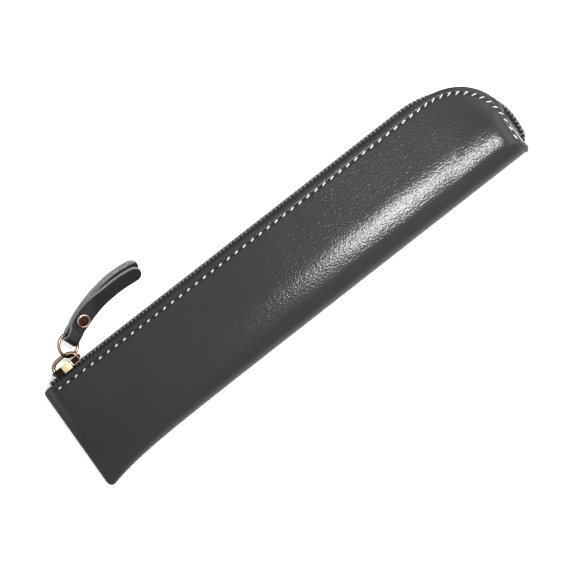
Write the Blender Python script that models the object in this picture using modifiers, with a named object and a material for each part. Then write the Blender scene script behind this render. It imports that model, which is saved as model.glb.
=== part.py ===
"""Slim leather pencil pouch with a zip, lying on its back panel.

Metres, +Z up. X runs along the pouch, from the flat sewn end at -X to the rounded end at +X.
The zip is on the +Y side and the fold of the hide on the -Y side. The underside is at Z = 0.
"""

import math

import bmesh
import bpy
from mathutils import Matrix, Vector

MM = 0.001
CLEARANCE = 0.3 * MM

# Outline of the pouch, seen from above
SEWN_END_X = -104.9 * MM
SEWN_END_SLANT = 2.1 * MM
CURVE_START_X = 78.0 * MM
CURVE_REACH = 24.8 * MM
CURVE_TURN_Y = -4.0 * MM
CURVE_FULLNESS = 2.15
CORNER_X = 101.2 * MM
EDGE_Y = 18.9 * MM
EDGE_RISE = 0.95 * MM
EDGE_RISE_LENGTH = 22.0 * MM
FOLD_Y = -21.4 * MM
CORNER_WIDTH = 2.8 * MM
EAR_DROP = 3.9 * MM
EAR_LENGTH = 14.0 * MM

# Section of the pouch
LEATHER = 1.2 * MM
FOLD_RADIUS = 7.5 * MM
MOUTH = 7.6 * MM
EDGE_LIFT = 1.3 * MM
EDGE_LIFT_WIDTH = 10.0 * MM
PANEL_CROWN = 1.6
SEWN_THICKNESS = 5.2 * MM
CORNER_THICKNESS = 3.4 * MM
SWELL_LENGTH = 45.0 * MM
MOUTH_CLOSING = 5.0 * MM
CORNER_TAPER = 32.0 * MM
CORNER_CLOSING = 6.0 * MM
SEAM_GROOVE = 0.7 * MM

# Zip
COIL_Y = 20.35 * MM
COIL_HEIGHT = 2.1 * MM
COIL_WIDTH = 2.1 * MM
COIL_SLIT = 1.0 * MM
COIL_PITCH = 1.77 * MM
COIL_RIPPLE = 0.35 * MM
COIL_START_X = -98.4 * MM
COIL_CURVE_X = 70.0 * MM
COIL_REACH = 33.7 * MM
COIL_TURN_Y = -7.8 * MM
COIL_END_Y = -13.6 * MM
COIL_END_INSET = 0.5 * MM
TAPE = 0.5 * MM
TAPE_UNDER_COIL = 0.2 * MM
TAPE_LEG = 7.0 * MM
TAPE_TURN = 5.0 * MM
TAPE_TOP_INSET = 0.9 * MM
TAPE_END_INSET = 1.5 * MM
TAPE_SLACK = 0.35 * MM
TAPE_SLACK_LENGTH = 30.0 * MM
TAPE_START_X = -100.6 * MM

# Stitching
STITCH_PITCH = 3.85 * MM
STITCH_INSET = 2.45 * MM
STITCH_START_X = -98.2 * MM
THREAD = 0.5 * MM
THREAD_AT_HOLE = 0.28

# Slider, whose middle is at SLIDER_X in the closed position
SLIDER_X = -89.2 * MM
SLIDER_LENGTH = 13.0 * MM
SLIDER_WIDTH = 8.0 * MM
SLIDER_TAIL_WIDTH = 7.2 * MM
TOP_PLATE = 1.55 * MM
PLATE_OVER_COIL = 0.35 * MM
FLANGE_DROP = 1.4 * MM
BOTTOM_PLATE = 1.0 * MM
LOWER_PLATE_PLAY = 0.4 * MM
POST_THICKNESS = 0.5 * MM
POST_LENGTH = 2.2 * MM
BRIDGE_SPAN = 11.2 * MM
BRIDGE_RISE = 3.5 * MM
BRIDGE_BAR = 0.8 * MM
BRIDGE_WIDTH = 1.2 * MM

# Pull: ring, strap and rivet
RING_OUTER = 9.8 * MM
RING_WIRE = 1.1 * MM
RING_FROM_SLIDER = (5.2 * MM, 7.75 * MM, 0.13 * MM)
RING_NORMAL = (0.471, -0.367, 0.803)
STRAP_LEATHER = 1.2 * MM
STRAP_WIDTH = 7.0 * MM
STRAP_FOLD_WIDTH = 5.4 * MM
STRAP_FOLD_PLAY = 0.3 * MM
STRAP_LENGTH = 38.3 * MM
STRAP_TILT = math.radians(47)
STRAP_LEAF_GAP = 0.5 * MM
STRAP_SPLAY = 1.5 * MM
STRAP_TURN = math.radians(18)
STRAP_END_TURN = math.radians(-13)
RIVET_DISTANCE = 8.2 * MM
RIVET_HEAD = 5.4 * MM
RIVET_HEAD_THICKNESS = 0.8 * MM
RIVET_POST = 2.4 * MM
RIVET_SEAT = 0.4 * MM
STRAP_TWIST_END = 0.6

NOSE_STEPS = 4
PANEL_SHARES = (0.16, 0.34, 0.52, 0.7, 0.86, 1.0)
SIDE_POINTS = NOSE_STEPS + len(PANEL_SHARES)
FRONT = 1
BACK = -1


def clear_scene():
    for obj in list(bpy.data.objects):
        bpy.data.objects.remove(obj, do_unlink=True)


def make_collection(name):
    group = bpy.data.collections.new(name)
    bpy.context.scene.collection.children.link(group)
    return group


def make_material(name, colour, roughness, metallic=0.0):
    mat = bpy.data.materials.new(name)
    mat.use_nodes = True
    shader = mat.node_tree.nodes["Principled BSDF"]
    shader.inputs["Base Color"].default_value = (*colour, 1.0)
    shader.inputs["Roughness"].default_value = roughness
    shader.inputs["Metallic"].default_value = metallic
    return mat


def add_object(name, mesh, mat, group):
    obj = bpy.data.objects.new(name, mesh)
    mesh.materials.clear()
    mesh.materials.append(mat)
    group.objects.link(obj)
    return obj


def face_outwards(bm):
    bmesh.ops.recalc_face_normals(bm, faces=bm.faces)
    if bm.calc_volume(signed=True) < 0:
        bmesh.ops.reverse_faces(bm, faces=bm.faces)


def mesh_from_rows(name, rows, ring=False, caps=False):
    """A loft: each row is a list of points, and neighbouring rows are joined by faces."""
    bm = bmesh.new()
    grid = [[bm.verts.new(point) for point in row] for row in rows]
    count = len(rows[0])
    last = count if ring else count - 1
    for near, far in zip(grid, grid[1:]):
        for k in range(last):
            nxt = (k + 1) % count
            bm.faces.new((near[k], near[nxt], far[nxt], far[k]))
    if caps:
        bm.faces.new(list(reversed(grid[0])))
        bm.faces.new(grid[-1])
        bmesh.ops.triangulate(bm, faces=[f for f in bm.faces if len(f.verts) > 4])
    face_outwards(bm)
    mesh = bpy.data.meshes.new(name)
    bm.to_mesh(mesh)
    bm.free()
    return mesh


def smooth(mesh, degrees=40):
    mesh.shade_smooth()
    mesh.set_sharp_from_angle(angle=math.radians(degrees))


def solidify(obj, thickness, offset):
    wall = obj.modifiers.new("wall", "SOLIDIFY")
    wall.thickness = thickness
    wall.offset = offset
    wall.use_quality_normals = True


def bevel(obj, width, segments=1):
    edge = obj.modifiers.new("edges", "BEVEL")
    edge.width = width
    edge.segments = segments
    edge.limit_method = "ANGLE"
    edge.angle_limit = math.radians(40)
    return edge


def boolean(obj, other, operation):
    cut = obj.modifiers.new(operation.lower(), "BOOLEAN")
    cut.operation = operation
    cut.solver = "EXACT"
    cut.object = other


def ease(value):
    value = min(max(value, 0.0), 1.0)
    return value * value * (3.0 - 2.0 * value)


class Line:
    """A polyline in the XY plane that is read by its length."""

    def __init__(self, points):
        self.points = [Vector(point).to_2d() for point in points]
        self.marks = [0.0]
        for near, far in zip(self.points, self.points[1:]):
            self.marks.append(self.marks[-1] + (far - near).length)
        self.length = self.marks[-1]

    def at(self, distance):
        distance = min(max(distance, 0.0), self.length)
        k = 1
        while k < len(self.marks) - 1 and self.marks[k] < distance:
            k += 1
        share = (distance - self.marks[k - 1]) / (self.marks[k] - self.marks[k - 1])
        return self.points[k - 1].lerp(self.points[k], share)

    def outward(self, distance):
        """The unit vector square to the line, on its left as it runs from -X."""
        step = 0.5 * MM
        run = self.at(distance + step) - self.at(distance - step)
        return Vector((-run.y, run.x)).normalized()

    def nearest(self, point):
        """Place along the line that lies next to a point."""
        best_gap, best_mark = None, 0.0
        for k, (near, far) in enumerate(zip(self.points, self.points[1:])):
            run = far - near
            share = min(max((point - near).dot(run) / run.length_squared, 0.0), 1.0)
            gap = (near + run * share - point).length
            if best_gap is None or gap < best_gap:
                best_gap, best_mark = gap, self.marks[k] + share * run.length
        return best_mark


def edge_y(x):
    return EDGE_Y + EDGE_RISE * math.exp((edge_start_x() - x) / EDGE_RISE_LENGTH)


def edge_start_x():
    return SEWN_END_X + SEWN_END_SLANT


def fold_y(x):
    return FOLD_Y - EAR_DROP * math.exp((SEWN_END_X - x) / EAR_LENGTH)


def quarter_turn(centre_x, turn_y, reach, rise, fullness, angle):
    power = 2.0 / fullness
    return (
        centre_x + reach * math.sin(angle) ** power,
        turn_y + rise * math.cos(angle) ** power,
    )


def edge_line(turn_steps=24):
    """The panels' cut edge, from the sewn end round to the fold corner."""
    points = []
    run = CURVE_START_X - edge_start_x()
    straight_steps = 60
    for k in range(straight_steps):
        x = edge_start_x() + run * k / straight_steps
        points.append((x, edge_y(x)))
    rise = edge_y(CURVE_START_X) - CURVE_TURN_Y
    for k in range(turn_steps + 1):
        angle = math.pi / 2 * k / turn_steps
        points.append(
            quarter_turn(CURVE_START_X, CURVE_TURN_Y, CURVE_REACH, rise, CURVE_FULLNESS, angle)
        )
    end_y = fold_y(CORNER_X) + CORNER_WIDTH
    end_steps = 8
    inset = CURVE_START_X + CURVE_REACH - CORNER_X
    for k in range(1, end_steps + 1):
        share = k / end_steps
        x = CURVE_START_X + CURVE_REACH - inset * ease(share)
        points.append((x, CURVE_TURN_Y + (end_y - CURVE_TURN_Y) * share))
    return Line(points)


def coil_line():
    """The middle of the coil, which stands proud of the edge, dips behind it and comes out again."""
    points = []
    straight_steps = 240
    for k in range(straight_steps):
        x = COIL_START_X + (COIL_CURVE_X - COIL_START_X) * k / straight_steps
        points.append((x, COIL_Y))
    turn_steps = 120
    for k in range(turn_steps + 1):
        angle = math.pi / 2 * k / turn_steps
        points.append(
            quarter_turn(COIL_CURVE_X, COIL_TURN_Y, COIL_REACH, COIL_Y - COIL_TURN_Y, 2.0, angle)
        )
    end_steps = 24
    for k in range(1, end_steps + 1):
        share = k / end_steps
        x = COIL_CURVE_X + COIL_REACH - COIL_END_INSET * share**1.8
        points.append((x, COIL_TURN_Y + (COIL_END_Y - COIL_TURN_Y) * share))
    return Line(points)


EDGE = edge_line()
COIL = coil_line()


def edge_lift(place):
    """The panels rise off the ground towards their edge, except at the sewn end."""
    mark = EDGE.nearest(place)
    gap = (EDGE.at(mark) - place).length
    return EDGE_LIFT * ease(mark / MOUTH_CLOSING) * ease(1.0 - gap / EDGE_LIFT_WIDTH)


class Rib:
    """One section of the hide, from its fold to the panels' edge."""

    def __init__(self, mark):
        self.mark = mark
        self.edge = EDGE.at(mark)
        turn_mark = CURVE_START_X - edge_start_x()
        start = max(self.edge.x - edge_start_x(), 0.0)
        if mark < turn_mark:
            slant = SEWN_END_SLANT * (1.0 - ease(start / SWELL_LENGTH))
            fold_x = self.edge.x - slant
        else:
            share = (mark - turn_mark) / (EDGE.length - turn_mark)
            fold_x = CURVE_START_X + (CORNER_X - CURVE_START_X) * (1.0 - (1.0 - share) ** 2)
        self.fold = Vector((fold_x, fold_y(fold_x)))
        self.width = (self.edge - self.fold).length
        self.across = (self.edge - self.fold).normalized()
        self.size_section(start)

    def size_section(self, start):
        end_rounding = 0.62 + 0.38 * ease(start / (2.2 * MM))
        sewn = 0.5 * SEWN_THICKNESS
        corner = 0.5 * CORNER_THICKNESS
        swell = 1.0 - math.exp(-((start / (0.4 * SWELL_LENGTH)) ** 1.3))
        full_nose = sewn + (FOLD_RADIUS - sewn) * swell
        closing = 1.0 - (1.0 - min((self.width - CORNER_WIDTH) / CORNER_TAPER, 1.0)) ** 2
        self.nose = end_rounding * (corner + (full_nose - corner) * closing)
        full_edge = 0.5 * MOUTH + LEATHER
        opening = ease(start / MOUTH_CLOSING)
        ending = ease((EDGE.length - self.mark) / CORNER_CLOSING)
        edge_half = sewn + (full_edge - sewn) * opening
        self.edge_half = end_rounding * (corner + (edge_half - corner) * ending)

    def heights(self, depth):
        """Height of the back and the front surface at a distance from the fold."""
        lift = edge_lift(self.fold + self.across * depth)
        if depth < self.nose:
            rise = math.sqrt(max(self.nose**2 - (self.nose - depth) ** 2, 0.0))
            return lift + self.nose - rise, lift + self.nose + rise
        share = (depth - self.nose) / (self.width - self.nose)
        half = self.edge_half + (self.nose - self.edge_half) * (1.0 - share**PANEL_CROWN)
        return lift, lift + 2.0 * half

    def point(self, depth, side):
        flat = self.fold + self.across * depth
        low, high = self.heights(depth)
        return Vector((flat.x, flat.y, high if side == FRONT else low))

    def section(self, inset):
        """Points from the back edge, round the fold, to the front edge, inset into the leather."""
        nose = self.nose - inset
        back = []
        front = []
        for k in range(1, NOSE_STEPS + 1):
            angle = math.pi / 2 * k / NOSE_STEPS
            flat = self.fold + self.across * (self.nose - nose * math.cos(angle))
            centre = self.nose + edge_lift(flat)
            back.append(Vector((flat.x, flat.y, centre - nose * math.sin(angle))))
            front.append(Vector((flat.x, flat.y, centre + nose * math.sin(angle))))
        for share in PANEL_SHARES:
            depth = self.nose + (self.width - self.nose) * share
            flat = self.fold + self.across * depth
            low, high = self.heights(depth)
            back.append(Vector((flat.x, flat.y, low + inset)))
            front.append(Vector((flat.x, flat.y, high - inset)))
        tip = self.fold + self.across * inset
        return back[::-1] + [Vector((tip.x, tip.y, self.nose + edge_lift(tip)))] + front

    def middle_z(self):
        low, high = self.heights(self.width)
        return 0.5 * (low + high)


def side_of_rib(mark, place):
    rib = Rib(mark)
    offset = place - rib.fold
    return rib.across.x * offset.y - rib.across.y * offset.x


def hide_point(place, side):
    """Point of a panel's outer surface above or below a place in the plan."""
    near = 0.0
    far = min(EDGE.nearest(place) + CORNER_CLOSING, EDGE.length)
    for _ in range(40):
        middle = 0.5 * (near + far)
        if side_of_rib(middle, place) < 0.0:
            near = middle
        else:
            far = middle
    rib = Rib(near)
    low, high = rib.heights((place - rib.fold).dot(rib.across))
    return Vector((place.x, place.y, high if side == FRONT else low))


def inside_edge(mark, inset, side):
    """Point of a panel's outer surface at a distance square to its edge."""
    return hide_point(EDGE.at(mark) - EDGE.outward(mark) * inset, side)


def hide_marks():
    """Places along the edge where the hide has a section, close together at both ends."""
    shares = [0.0, 0.018, 0.044, 0.089, 0.142, 0.211, 0.3, 0.411, 0.556, 0.756, 1.0]
    near = [share * SWELL_LENGTH for share in shares]
    turn = CURVE_START_X - edge_start_x()
    middle_steps = 7
    middle = [near[-1] + (turn - near[-1]) * k / middle_steps for k in range(1, middle_steps + 1)]
    curve_steps = 15
    pinch = EDGE.length - CORNER_CLOSING
    curve = [turn + (pinch - turn) * k / curve_steps for k in range(1, curve_steps + 1)]
    corner_steps = 4
    corner = [pinch + CORNER_CLOSING * k / corner_steps for k in range(1, corner_steps + 1)]
    return near + middle + curve + corner


def end_wall(bm, section, groove):
    """Closes the flat end, with a shallow groove where the two panels are sewn together."""
    nose = section[SIDE_POINTS]
    back = section[SIDE_POINTS - 1 :: -1]
    front = section[SIDE_POINTS + 1 :]
    middles = []
    for top, bottom in zip(front, back):
        middle = 0.5 * (top.co + bottom.co) + Vector((groove, 0.0, 0.0))
        middles.append(bm.verts.new(middle))
    bm.faces.new((nose, front[0], middles[0]))
    bm.faces.new((nose, middles[0], back[0]))
    for k in range(len(middles) - 1):
        bm.faces.new((front[k], front[k + 1], middles[k + 1], middles[k]))
        bm.faces.new((middles[k], middles[k + 1], back[k + 1], back[k]))
    return middles[-1]


def skin(bm, marks, inset, groove):
    """One surface of the hide: a grid of sections, closed at the sewn end."""
    grid = [[bm.verts.new(point) for point in Rib(mark).section(inset)] for mark in marks]
    for near, far in zip(grid, grid[1:]):
        for k in range(len(near) - 1):
            bm.faces.new((near[k], near[k + 1], far[k + 1], far[k]))
    return grid, end_wall(bm, grid[0], groove)


def make_leather_body(mat, group):
    bm = bmesh.new()
    marks = hide_marks()
    wall = LEATHER + SEAM_GROOVE
    squeeze = SWELL_LENGTH
    inner_marks = [
        wall + mark * (squeeze - wall) / squeeze if mark < squeeze else mark for mark in marks
    ]
    outer, outer_middle = skin(bm, marks, 0.0, SEAM_GROOVE)
    inner, inner_middle = skin(bm, inner_marks, LEATHER, 0.0)
    for side in (0, -1):
        for k in range(len(marks) - 1):
            bm.faces.new((outer[k][side], outer[k + 1][side], inner[k + 1][side], inner[k][side]))
        bm.faces.new((outer[0][side], outer_middle, inner_middle, inner[0][side]))
    for k in range(2 * SIDE_POINTS):
        bm.faces.new((outer[-1][k], outer[-1][k + 1], inner[-1][k + 1], inner[-1][k]))
    face_outwards(bm)
    mesh = bpy.data.meshes.new("leather_body")
    bm.to_mesh(mesh)
    bm.free()
    smooth(mesh)
    return add_object("leather_body", mesh, mat, group)


def make_tape(name, side, mat, group):
    rows = []
    down = 0.5 * COIL_HEIGHT + TAPE_UNDER_COIL + 0.5 * TAPE
    for mark in hide_marks():
        to_end = min(mark, EDGE.length - mark)
        slack = TAPE_SLACK * (1.0 - ease(to_end / TAPE_SLACK_LENGTH))
        under = Vector((0.0, 0.0, side * (LEATHER + CLEARANCE + slack + 0.5 * TAPE)))
        rib = Rib(mark)
        too_early = rib.edge.x < TAPE_START_X and rib.edge.y > 0.0
        if too_early or rib.edge.y < COIL_END_Y + TAPE_END_INSET:
            continue
        coil_mark = COIL.nearest(rib.edge)
        seat = COIL.at(coil_mark) - COIL.outward(coil_mark) * down
        sunk = (rib.edge - seat).dot(EDGE.outward(mark))
        top = max(TAPE_TOP_INSET, sunk + TAPE)
        bottom = max(TAPE_LEG, sunk + TAPE_TURN)
        legs = []
        for share in (0.0, 0.5, 1.0):
            legs.append(inside_edge(mark, top + (bottom - top) * share, side) - under)
        edge_of_tape = Vector((seat.x, seat.y, rib.middle_z() + side * 0.5 * COIL_SLIT))
        rim = rib.point(rib.width, side) - under
        turn_z = min(rim.z, legs[0].z) if side == FRONT else max(rim.z, legs[0].z)
        bend = Vector((seat.x, seat.y, turn_z - side * TAPE))
        rows.append([edge_of_tape, bend] + legs)
    mesh = mesh_from_rows(name, rows)
    smooth(mesh)
    obj = add_object(name, mesh, mat, group)
    solidify(obj, TAPE, 0.0)
    return obj


def make_coil(name, side, mat, group):
    """A ribbed strip: each tooth is a full section between two slimmer ones."""
    rows = []
    teeth = int(COIL.length / COIL_PITCH)
    inner = 0.5 * COIL_SLIT
    for k in range(2 * teeth + 1):
        distance = COIL.length * k / (2 * teeth)
        place = COIL.at(distance)
        out = COIL.outward(distance)
        dip = COIL_RIPPLE if k % 2 else 0.0
        middle = Rib(EDGE.nearest(place)).middle_z()
        high = 0.5 * COIL_HEIGHT
        corners = (
            (-high, inner),
            (high - dip, inner),
            (high - dip, inner + COIL_WIDTH - 0.5 * dip),
            (-high, inner + COIL_WIDTH - 0.5 * dip),
        )
        row = []
        for up, wide in corners:
            flat = place + out * up
            row.append(Vector((flat.x, flat.y, middle + side * wide)))
        rows.append(row)
    mesh = mesh_from_rows(name, rows, ring=True, caps=True)
    return add_object(name, mesh, mat, group)


def make_stitching(name, side, mat, group):
    """One lock-stitch thread: full at the middle of each stitch, thin where it enters the leather."""
    start = EDGE.nearest(Vector((STITCH_START_X, edge_y(STITCH_START_X))))
    stop = EDGE.length - STITCH_INSET
    stitches = int((stop - start) / STITCH_PITCH)
    rows = []
    for k in range(2 * stitches + 1):
        mark = start + STITCH_PITCH * k / 2
        outward = EDGE.outward(mark)
        normal = Vector((0.0, 0.0, side))
        lateral = Vector((outward.x, outward.y, 0.0))
        radius = 0.5 * THREAD if k % 2 else THREAD_AT_HOLE * THREAD
        centre = inside_edge(mark, STITCH_INSET, side) + normal * (CLEARANCE + 0.5 * THREAD)
        row = []
        for corner in range(4):
            angle = math.pi / 2 * corner
            row.append(centre + radius * (math.cos(angle) * normal + math.sin(angle) * lateral))
        rows.append(row)
    mesh = mesh_from_rows(name, rows, ring=True, caps=True)
    smooth(mesh, 60)
    return add_object(name, mesh, mat, group)


def make_tube(name, points, radius, mat, group, resolution=1, cyclic=False):
    curve = bpy.data.curves.new(name, "CURVE")
    curve.dimensions = "3D"
    curve.bevel_depth = radius
    curve.bevel_resolution = resolution
    curve.use_fill_caps = not cyclic
    spline = curve.splines.new("POLY")
    spline.points.add(len(points) - 1)
    for target, point in zip(spline.points, points):
        target.co = (*point, 1.0)
    spline.use_cyclic_u = cyclic
    curve.materials.append(mat)
    obj = bpy.data.objects.new(name, curve)
    group.objects.link(obj)
    return obj


def make_end_seam_thread(mat, group):
    """Hidden thread of the turned seam, just inside the wall of the flat end."""
    inside = LEATHER + SEAM_GROOVE + CLEARANCE + 0.5 * THREAD
    points = []
    steps = 10
    first = Rib(0.0)
    for k in range(steps + 1):
        depth = first.width * (0.1 + 0.78 * k / steps)
        flat = first.fold + first.across * depth
        points.append((flat.x + inside + 0.4 * MM, flat.y, 0.5 * SEWN_THICKNESS))
    return make_tube("end_seam_thread", points, 0.5 * THREAD, mat, group)


def zip_z():
    """Height of the middle of the zip along its straight run."""
    return EDGE_LIFT + 0.5 * MOUTH + LEATHER


def plate_underside():
    return COIL_Y + 0.5 * COIL_HEIGHT + PLATE_OVER_COIL


def tape_underside():
    return COIL_Y - 0.5 * COIL_HEIGHT - TAPE_UNDER_COIL - TAPE


def box_mesh(name, low, high):
    bm = bmesh.new()
    bmesh.ops.create_cube(bm, size=1.0)
    size = Vector(high) - Vector(low)
    middle = 0.5 * (Vector(high) + Vector(low))
    bmesh.ops.scale(bm, vec=size, verts=bm.verts)
    bmesh.ops.translate(bm, vec=middle, verts=bm.verts)
    mesh = bpy.data.meshes.new(name)
    bm.to_mesh(mesh)
    bm.free()
    return mesh


def add_helper(name, mesh, helpers):
    obj = bpy.data.objects.new(name, mesh)
    obj.hide_render = True
    obj.display_type = "WIRE"
    helpers.objects.link(obj)
    return obj


def plate_outline():
    """Slider seen on its top: wide at the mouth end, drawn in towards the tail."""
    half = 0.5 * SLIDER_LENGTH
    wide = 0.5 * SLIDER_WIDTH
    tail = 0.5 * SLIDER_TAIL_WIDTH
    nip = 0.12 * SLIDER_LENGTH
    side = [
        (-half, 0.55 * wide),
        (-half + nip, wide),
        (-0.1 * half, wide),
        (half - nip, tail),
        (half, 0.55 * tail),
    ]
    return side + [(x, -z) for x, z in reversed(side)]


def make_slider_body(mat, group, helpers):
    middle = zip_z()
    top = plate_underside() + TOP_PLATE
    bottom = plate_underside() - FLANGE_DROP
    outline = [(SLIDER_X + x, middle + z) for x, z in plate_outline()]
    rows = [[Vector((x, y, z)) for x, z in outline] for y in (bottom, top)]
    mesh = mesh_from_rows("slider_body", rows, ring=True, caps=True)
    obj = add_object("slider_body", mesh, mat, group)
    bevel(obj, 0.35 * MM, 2)
    half_channel = 0.5 * COIL_SLIT + COIL_WIDTH + CLEARANCE
    half_lower = 0.5 * MOUTH - 2.0 * CLEARANCE - TAPE - LOWER_PLATE_PLAY
    reach = SLIDER_LENGTH
    channel = box_mesh(
        "channel",
        (SLIDER_X - reach, bottom - MM, middle - half_channel),
        (SLIDER_X + reach, plate_underside(), middle + half_channel),
    )
    boolean(obj, add_helper("channel", channel, helpers), "DIFFERENCE")
    lower_top = tape_underside() - CLEARANCE
    lower = box_mesh(
        "lower_plate",
        (SLIDER_X - 0.4 * SLIDER_LENGTH, lower_top - BOTTOM_PLATE, middle - half_lower),
        (SLIDER_X + 0.46 * SLIDER_LENGTH, lower_top, middle + half_lower),
    )
    lower_obj = add_helper("lower_plate", lower, helpers)
    bevel(lower_obj, 0.3 * MM)
    boolean(obj, lower_obj, "UNION")
    post_start = SLIDER_X - 0.39 * SLIDER_LENGTH
    post = box_mesh(
        "divider_post",
        (post_start, lower_top - 0.5 * BOTTOM_PLATE, middle - 0.5 * POST_THICKNESS),
        (post_start + POST_LENGTH, plate_underside() + 0.5 * TOP_PLATE, middle + 0.5 * POST_THICKNESS),
    )
    boolean(obj, add_helper("divider_post", post, helpers), "UNION")
    return obj


def bridge_arc(rise, half_span, steps=10):
    base = plate_underside() + TOP_PLATE + CLEARANCE
    points = []
    for k in range(steps + 1):
        angle = math.pi * k / steps
        x = -half_span * math.cos(angle)
        points.append((SLIDER_X + x, base + rise * math.sin(angle) ** 0.8))
    return points


def make_slider_bridge(mat, group):
    """Arched bar over the slider, with its two feet on the top plate."""
    outer = bridge_arc(BRIDGE_RISE, 0.5 * BRIDGE_SPAN)
    inner = bridge_arc(BRIDGE_RISE - BRIDGE_BAR, 0.5 * BRIDGE_SPAN - 1.1 * BRIDGE_BAR)
    middle = zip_z()
    half = 0.5 * BRIDGE_WIDTH
    rows = []
    for (ox, oy), (ix, iy) in zip(outer, inner):
        rows.append(
            [
                Vector((ox, oy, middle - half)),
                Vector((ox, oy, middle + half)),
                Vector((ix, iy, middle + half)),
                Vector((ix, iy, middle - half)),
            ]
        )
    mesh = mesh_from_rows("slider_bridge", rows, ring=True, caps=True)
    obj = add_object("slider_bridge", mesh, mat, group)
    bevel(obj, 0.2 * MM)
    return obj


def ring_centre():
    return Vector((SLIDER_X, COIL_Y, zip_z())) + Vector(RING_FROM_SLIDER)


def make_pull_ring(mat, group):
    bpy.ops.mesh.primitive_torus_add(
        major_radius=0.5 * (RING_OUTER - RING_WIRE),
        minor_radius=0.5 * RING_WIRE,
        major_segments=32,
        minor_segments=8,
    )
    obj = bpy.context.object
    for owner in list(obj.users_collection):
        owner.objects.unlink(obj)
    group.objects.link(obj)
    obj.name = "pull_ring"
    turn = Vector(RING_NORMAL).normalized().to_track_quat("Z", "Y").to_matrix().to_4x4()
    obj.data.transform(Matrix.Translation(ring_centre()) @ turn)
    obj.data.materials.clear()
    obj.data.materials.append(mat)
    smooth(obj.data, 60)
    return obj


class Strap:
    """The folded strap's middle line, which bends flat towards the zip's direction."""

    def __init__(self):
        normal = Vector(RING_NORMAL).normalized()
        tilt = STRAP_TILT - math.radians(14)
        level = Vector((math.sin(STRAP_TURN), -math.cos(STRAP_TURN), 0.0))
        width = (-level * math.cos(tilt) + Vector((0.0, 0.0, math.sin(tilt)))).normalized()
        width = (width - normal * width.dot(normal)).normalized()
        self.width = width
        self.out = width.cross(normal).normalized()
        radius = 0.5 * (RING_OUTER - RING_WIRE)
        chord = math.sqrt(radius**2 - (0.5 * STRAP_FOLD_WIDTH) ** 2)
        self.seat = ring_centre() + self.out * (chord - CLEARANCE)
        self.fold_radius = 0.5 * RING_WIRE + CLEARANCE + STRAP_FOLD_PLAY + 0.5 * STRAP_LEATHER
        self.past_wire = radius - chord + 0.5 * RING_WIRE + 2.0 * CLEARANCE

    def frame(self, distance):
        """Middle point, width direction and face normal at a distance from the fold."""
        steps = 24
        place = self.seat.copy()
        for k in range(steps):
            place += self.heading((k + 0.5) / steps * distance) * distance / steps
        place.z += (self.resting_z() - place.z) * self.settled(distance)
        along = self.heading(distance)
        width = self.tilted(distance)
        width = (width - along * width.dot(along)).normalized()
        return place, width, along.cross(width).normalized()

    def settled(self, distance):
        """How far the strap has come to rest on the ground, which starts past the rivet."""
        past_rivet = RIVET_DISTANCE + 0.5 * RIVET_HEAD
        return ease((distance - past_rivet) / (STRAP_TWIST_END * STRAP_LENGTH - past_rivet))

    def resting_z(self):
        """Height of the middle line where the rear leaf's low edge lies on the ground."""
        leaf = STRAP_LEATHER + 0.5 * (STRAP_LEAF_GAP + STRAP_SPLAY)
        return 0.5 * STRAP_WIDTH * math.sin(STRAP_TILT) + leaf * math.cos(STRAP_TILT)

    def heading(self, distance):
        start = math.atan2(self.out.y, self.out.x)
        turn = start + (STRAP_END_TURN - start) * distance / STRAP_LENGTH
        to_rivet = RIVET_DISTANCE - 0.5 * RIVET_HEAD - self.past_wire
        level = ease((distance - self.past_wire) / to_rivet)
        slope = self.out.z / self.out.to_2d().length * (1.0 - level)
        return Vector((math.cos(turn), math.sin(turn), slope)).normalized()

    def apart(self, distance):
        """Half the distance between the middles of the two leaves."""
        splay = STRAP_SPLAY * ease((distance - RIVET_DISTANCE) / (0.5 * STRAP_LENGTH))
        leaf = 0.5 * (STRAP_LEATHER + STRAP_LEAF_GAP + splay)
        pinch = ease((distance - self.past_wire) / (0.55 * RIVET_DISTANCE - self.past_wire))
        return self.fold_radius + (leaf - self.fold_radius) * pinch

    def half_width(self, distance):
        """The strap widens from its fold and ends in a round tip."""
        widening = ease(distance / RIVET_DISTANCE)
        half = 0.5 * (STRAP_FOLD_WIDTH + (STRAP_WIDTH - STRAP_FOLD_WIDTH) * widening)
        from_tip = STRAP_LENGTH - distance
        if from_tip >= half:
            return half
        return math.sqrt(max(half**2 - (half - from_tip) ** 2, (0.18 * half) ** 2))

    def tilted(self, distance):
        final = Vector((0.0, math.cos(STRAP_TILT), math.sin(STRAP_TILT)))
        return self.width.lerp(final, self.settled(distance)).normalized()


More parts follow.
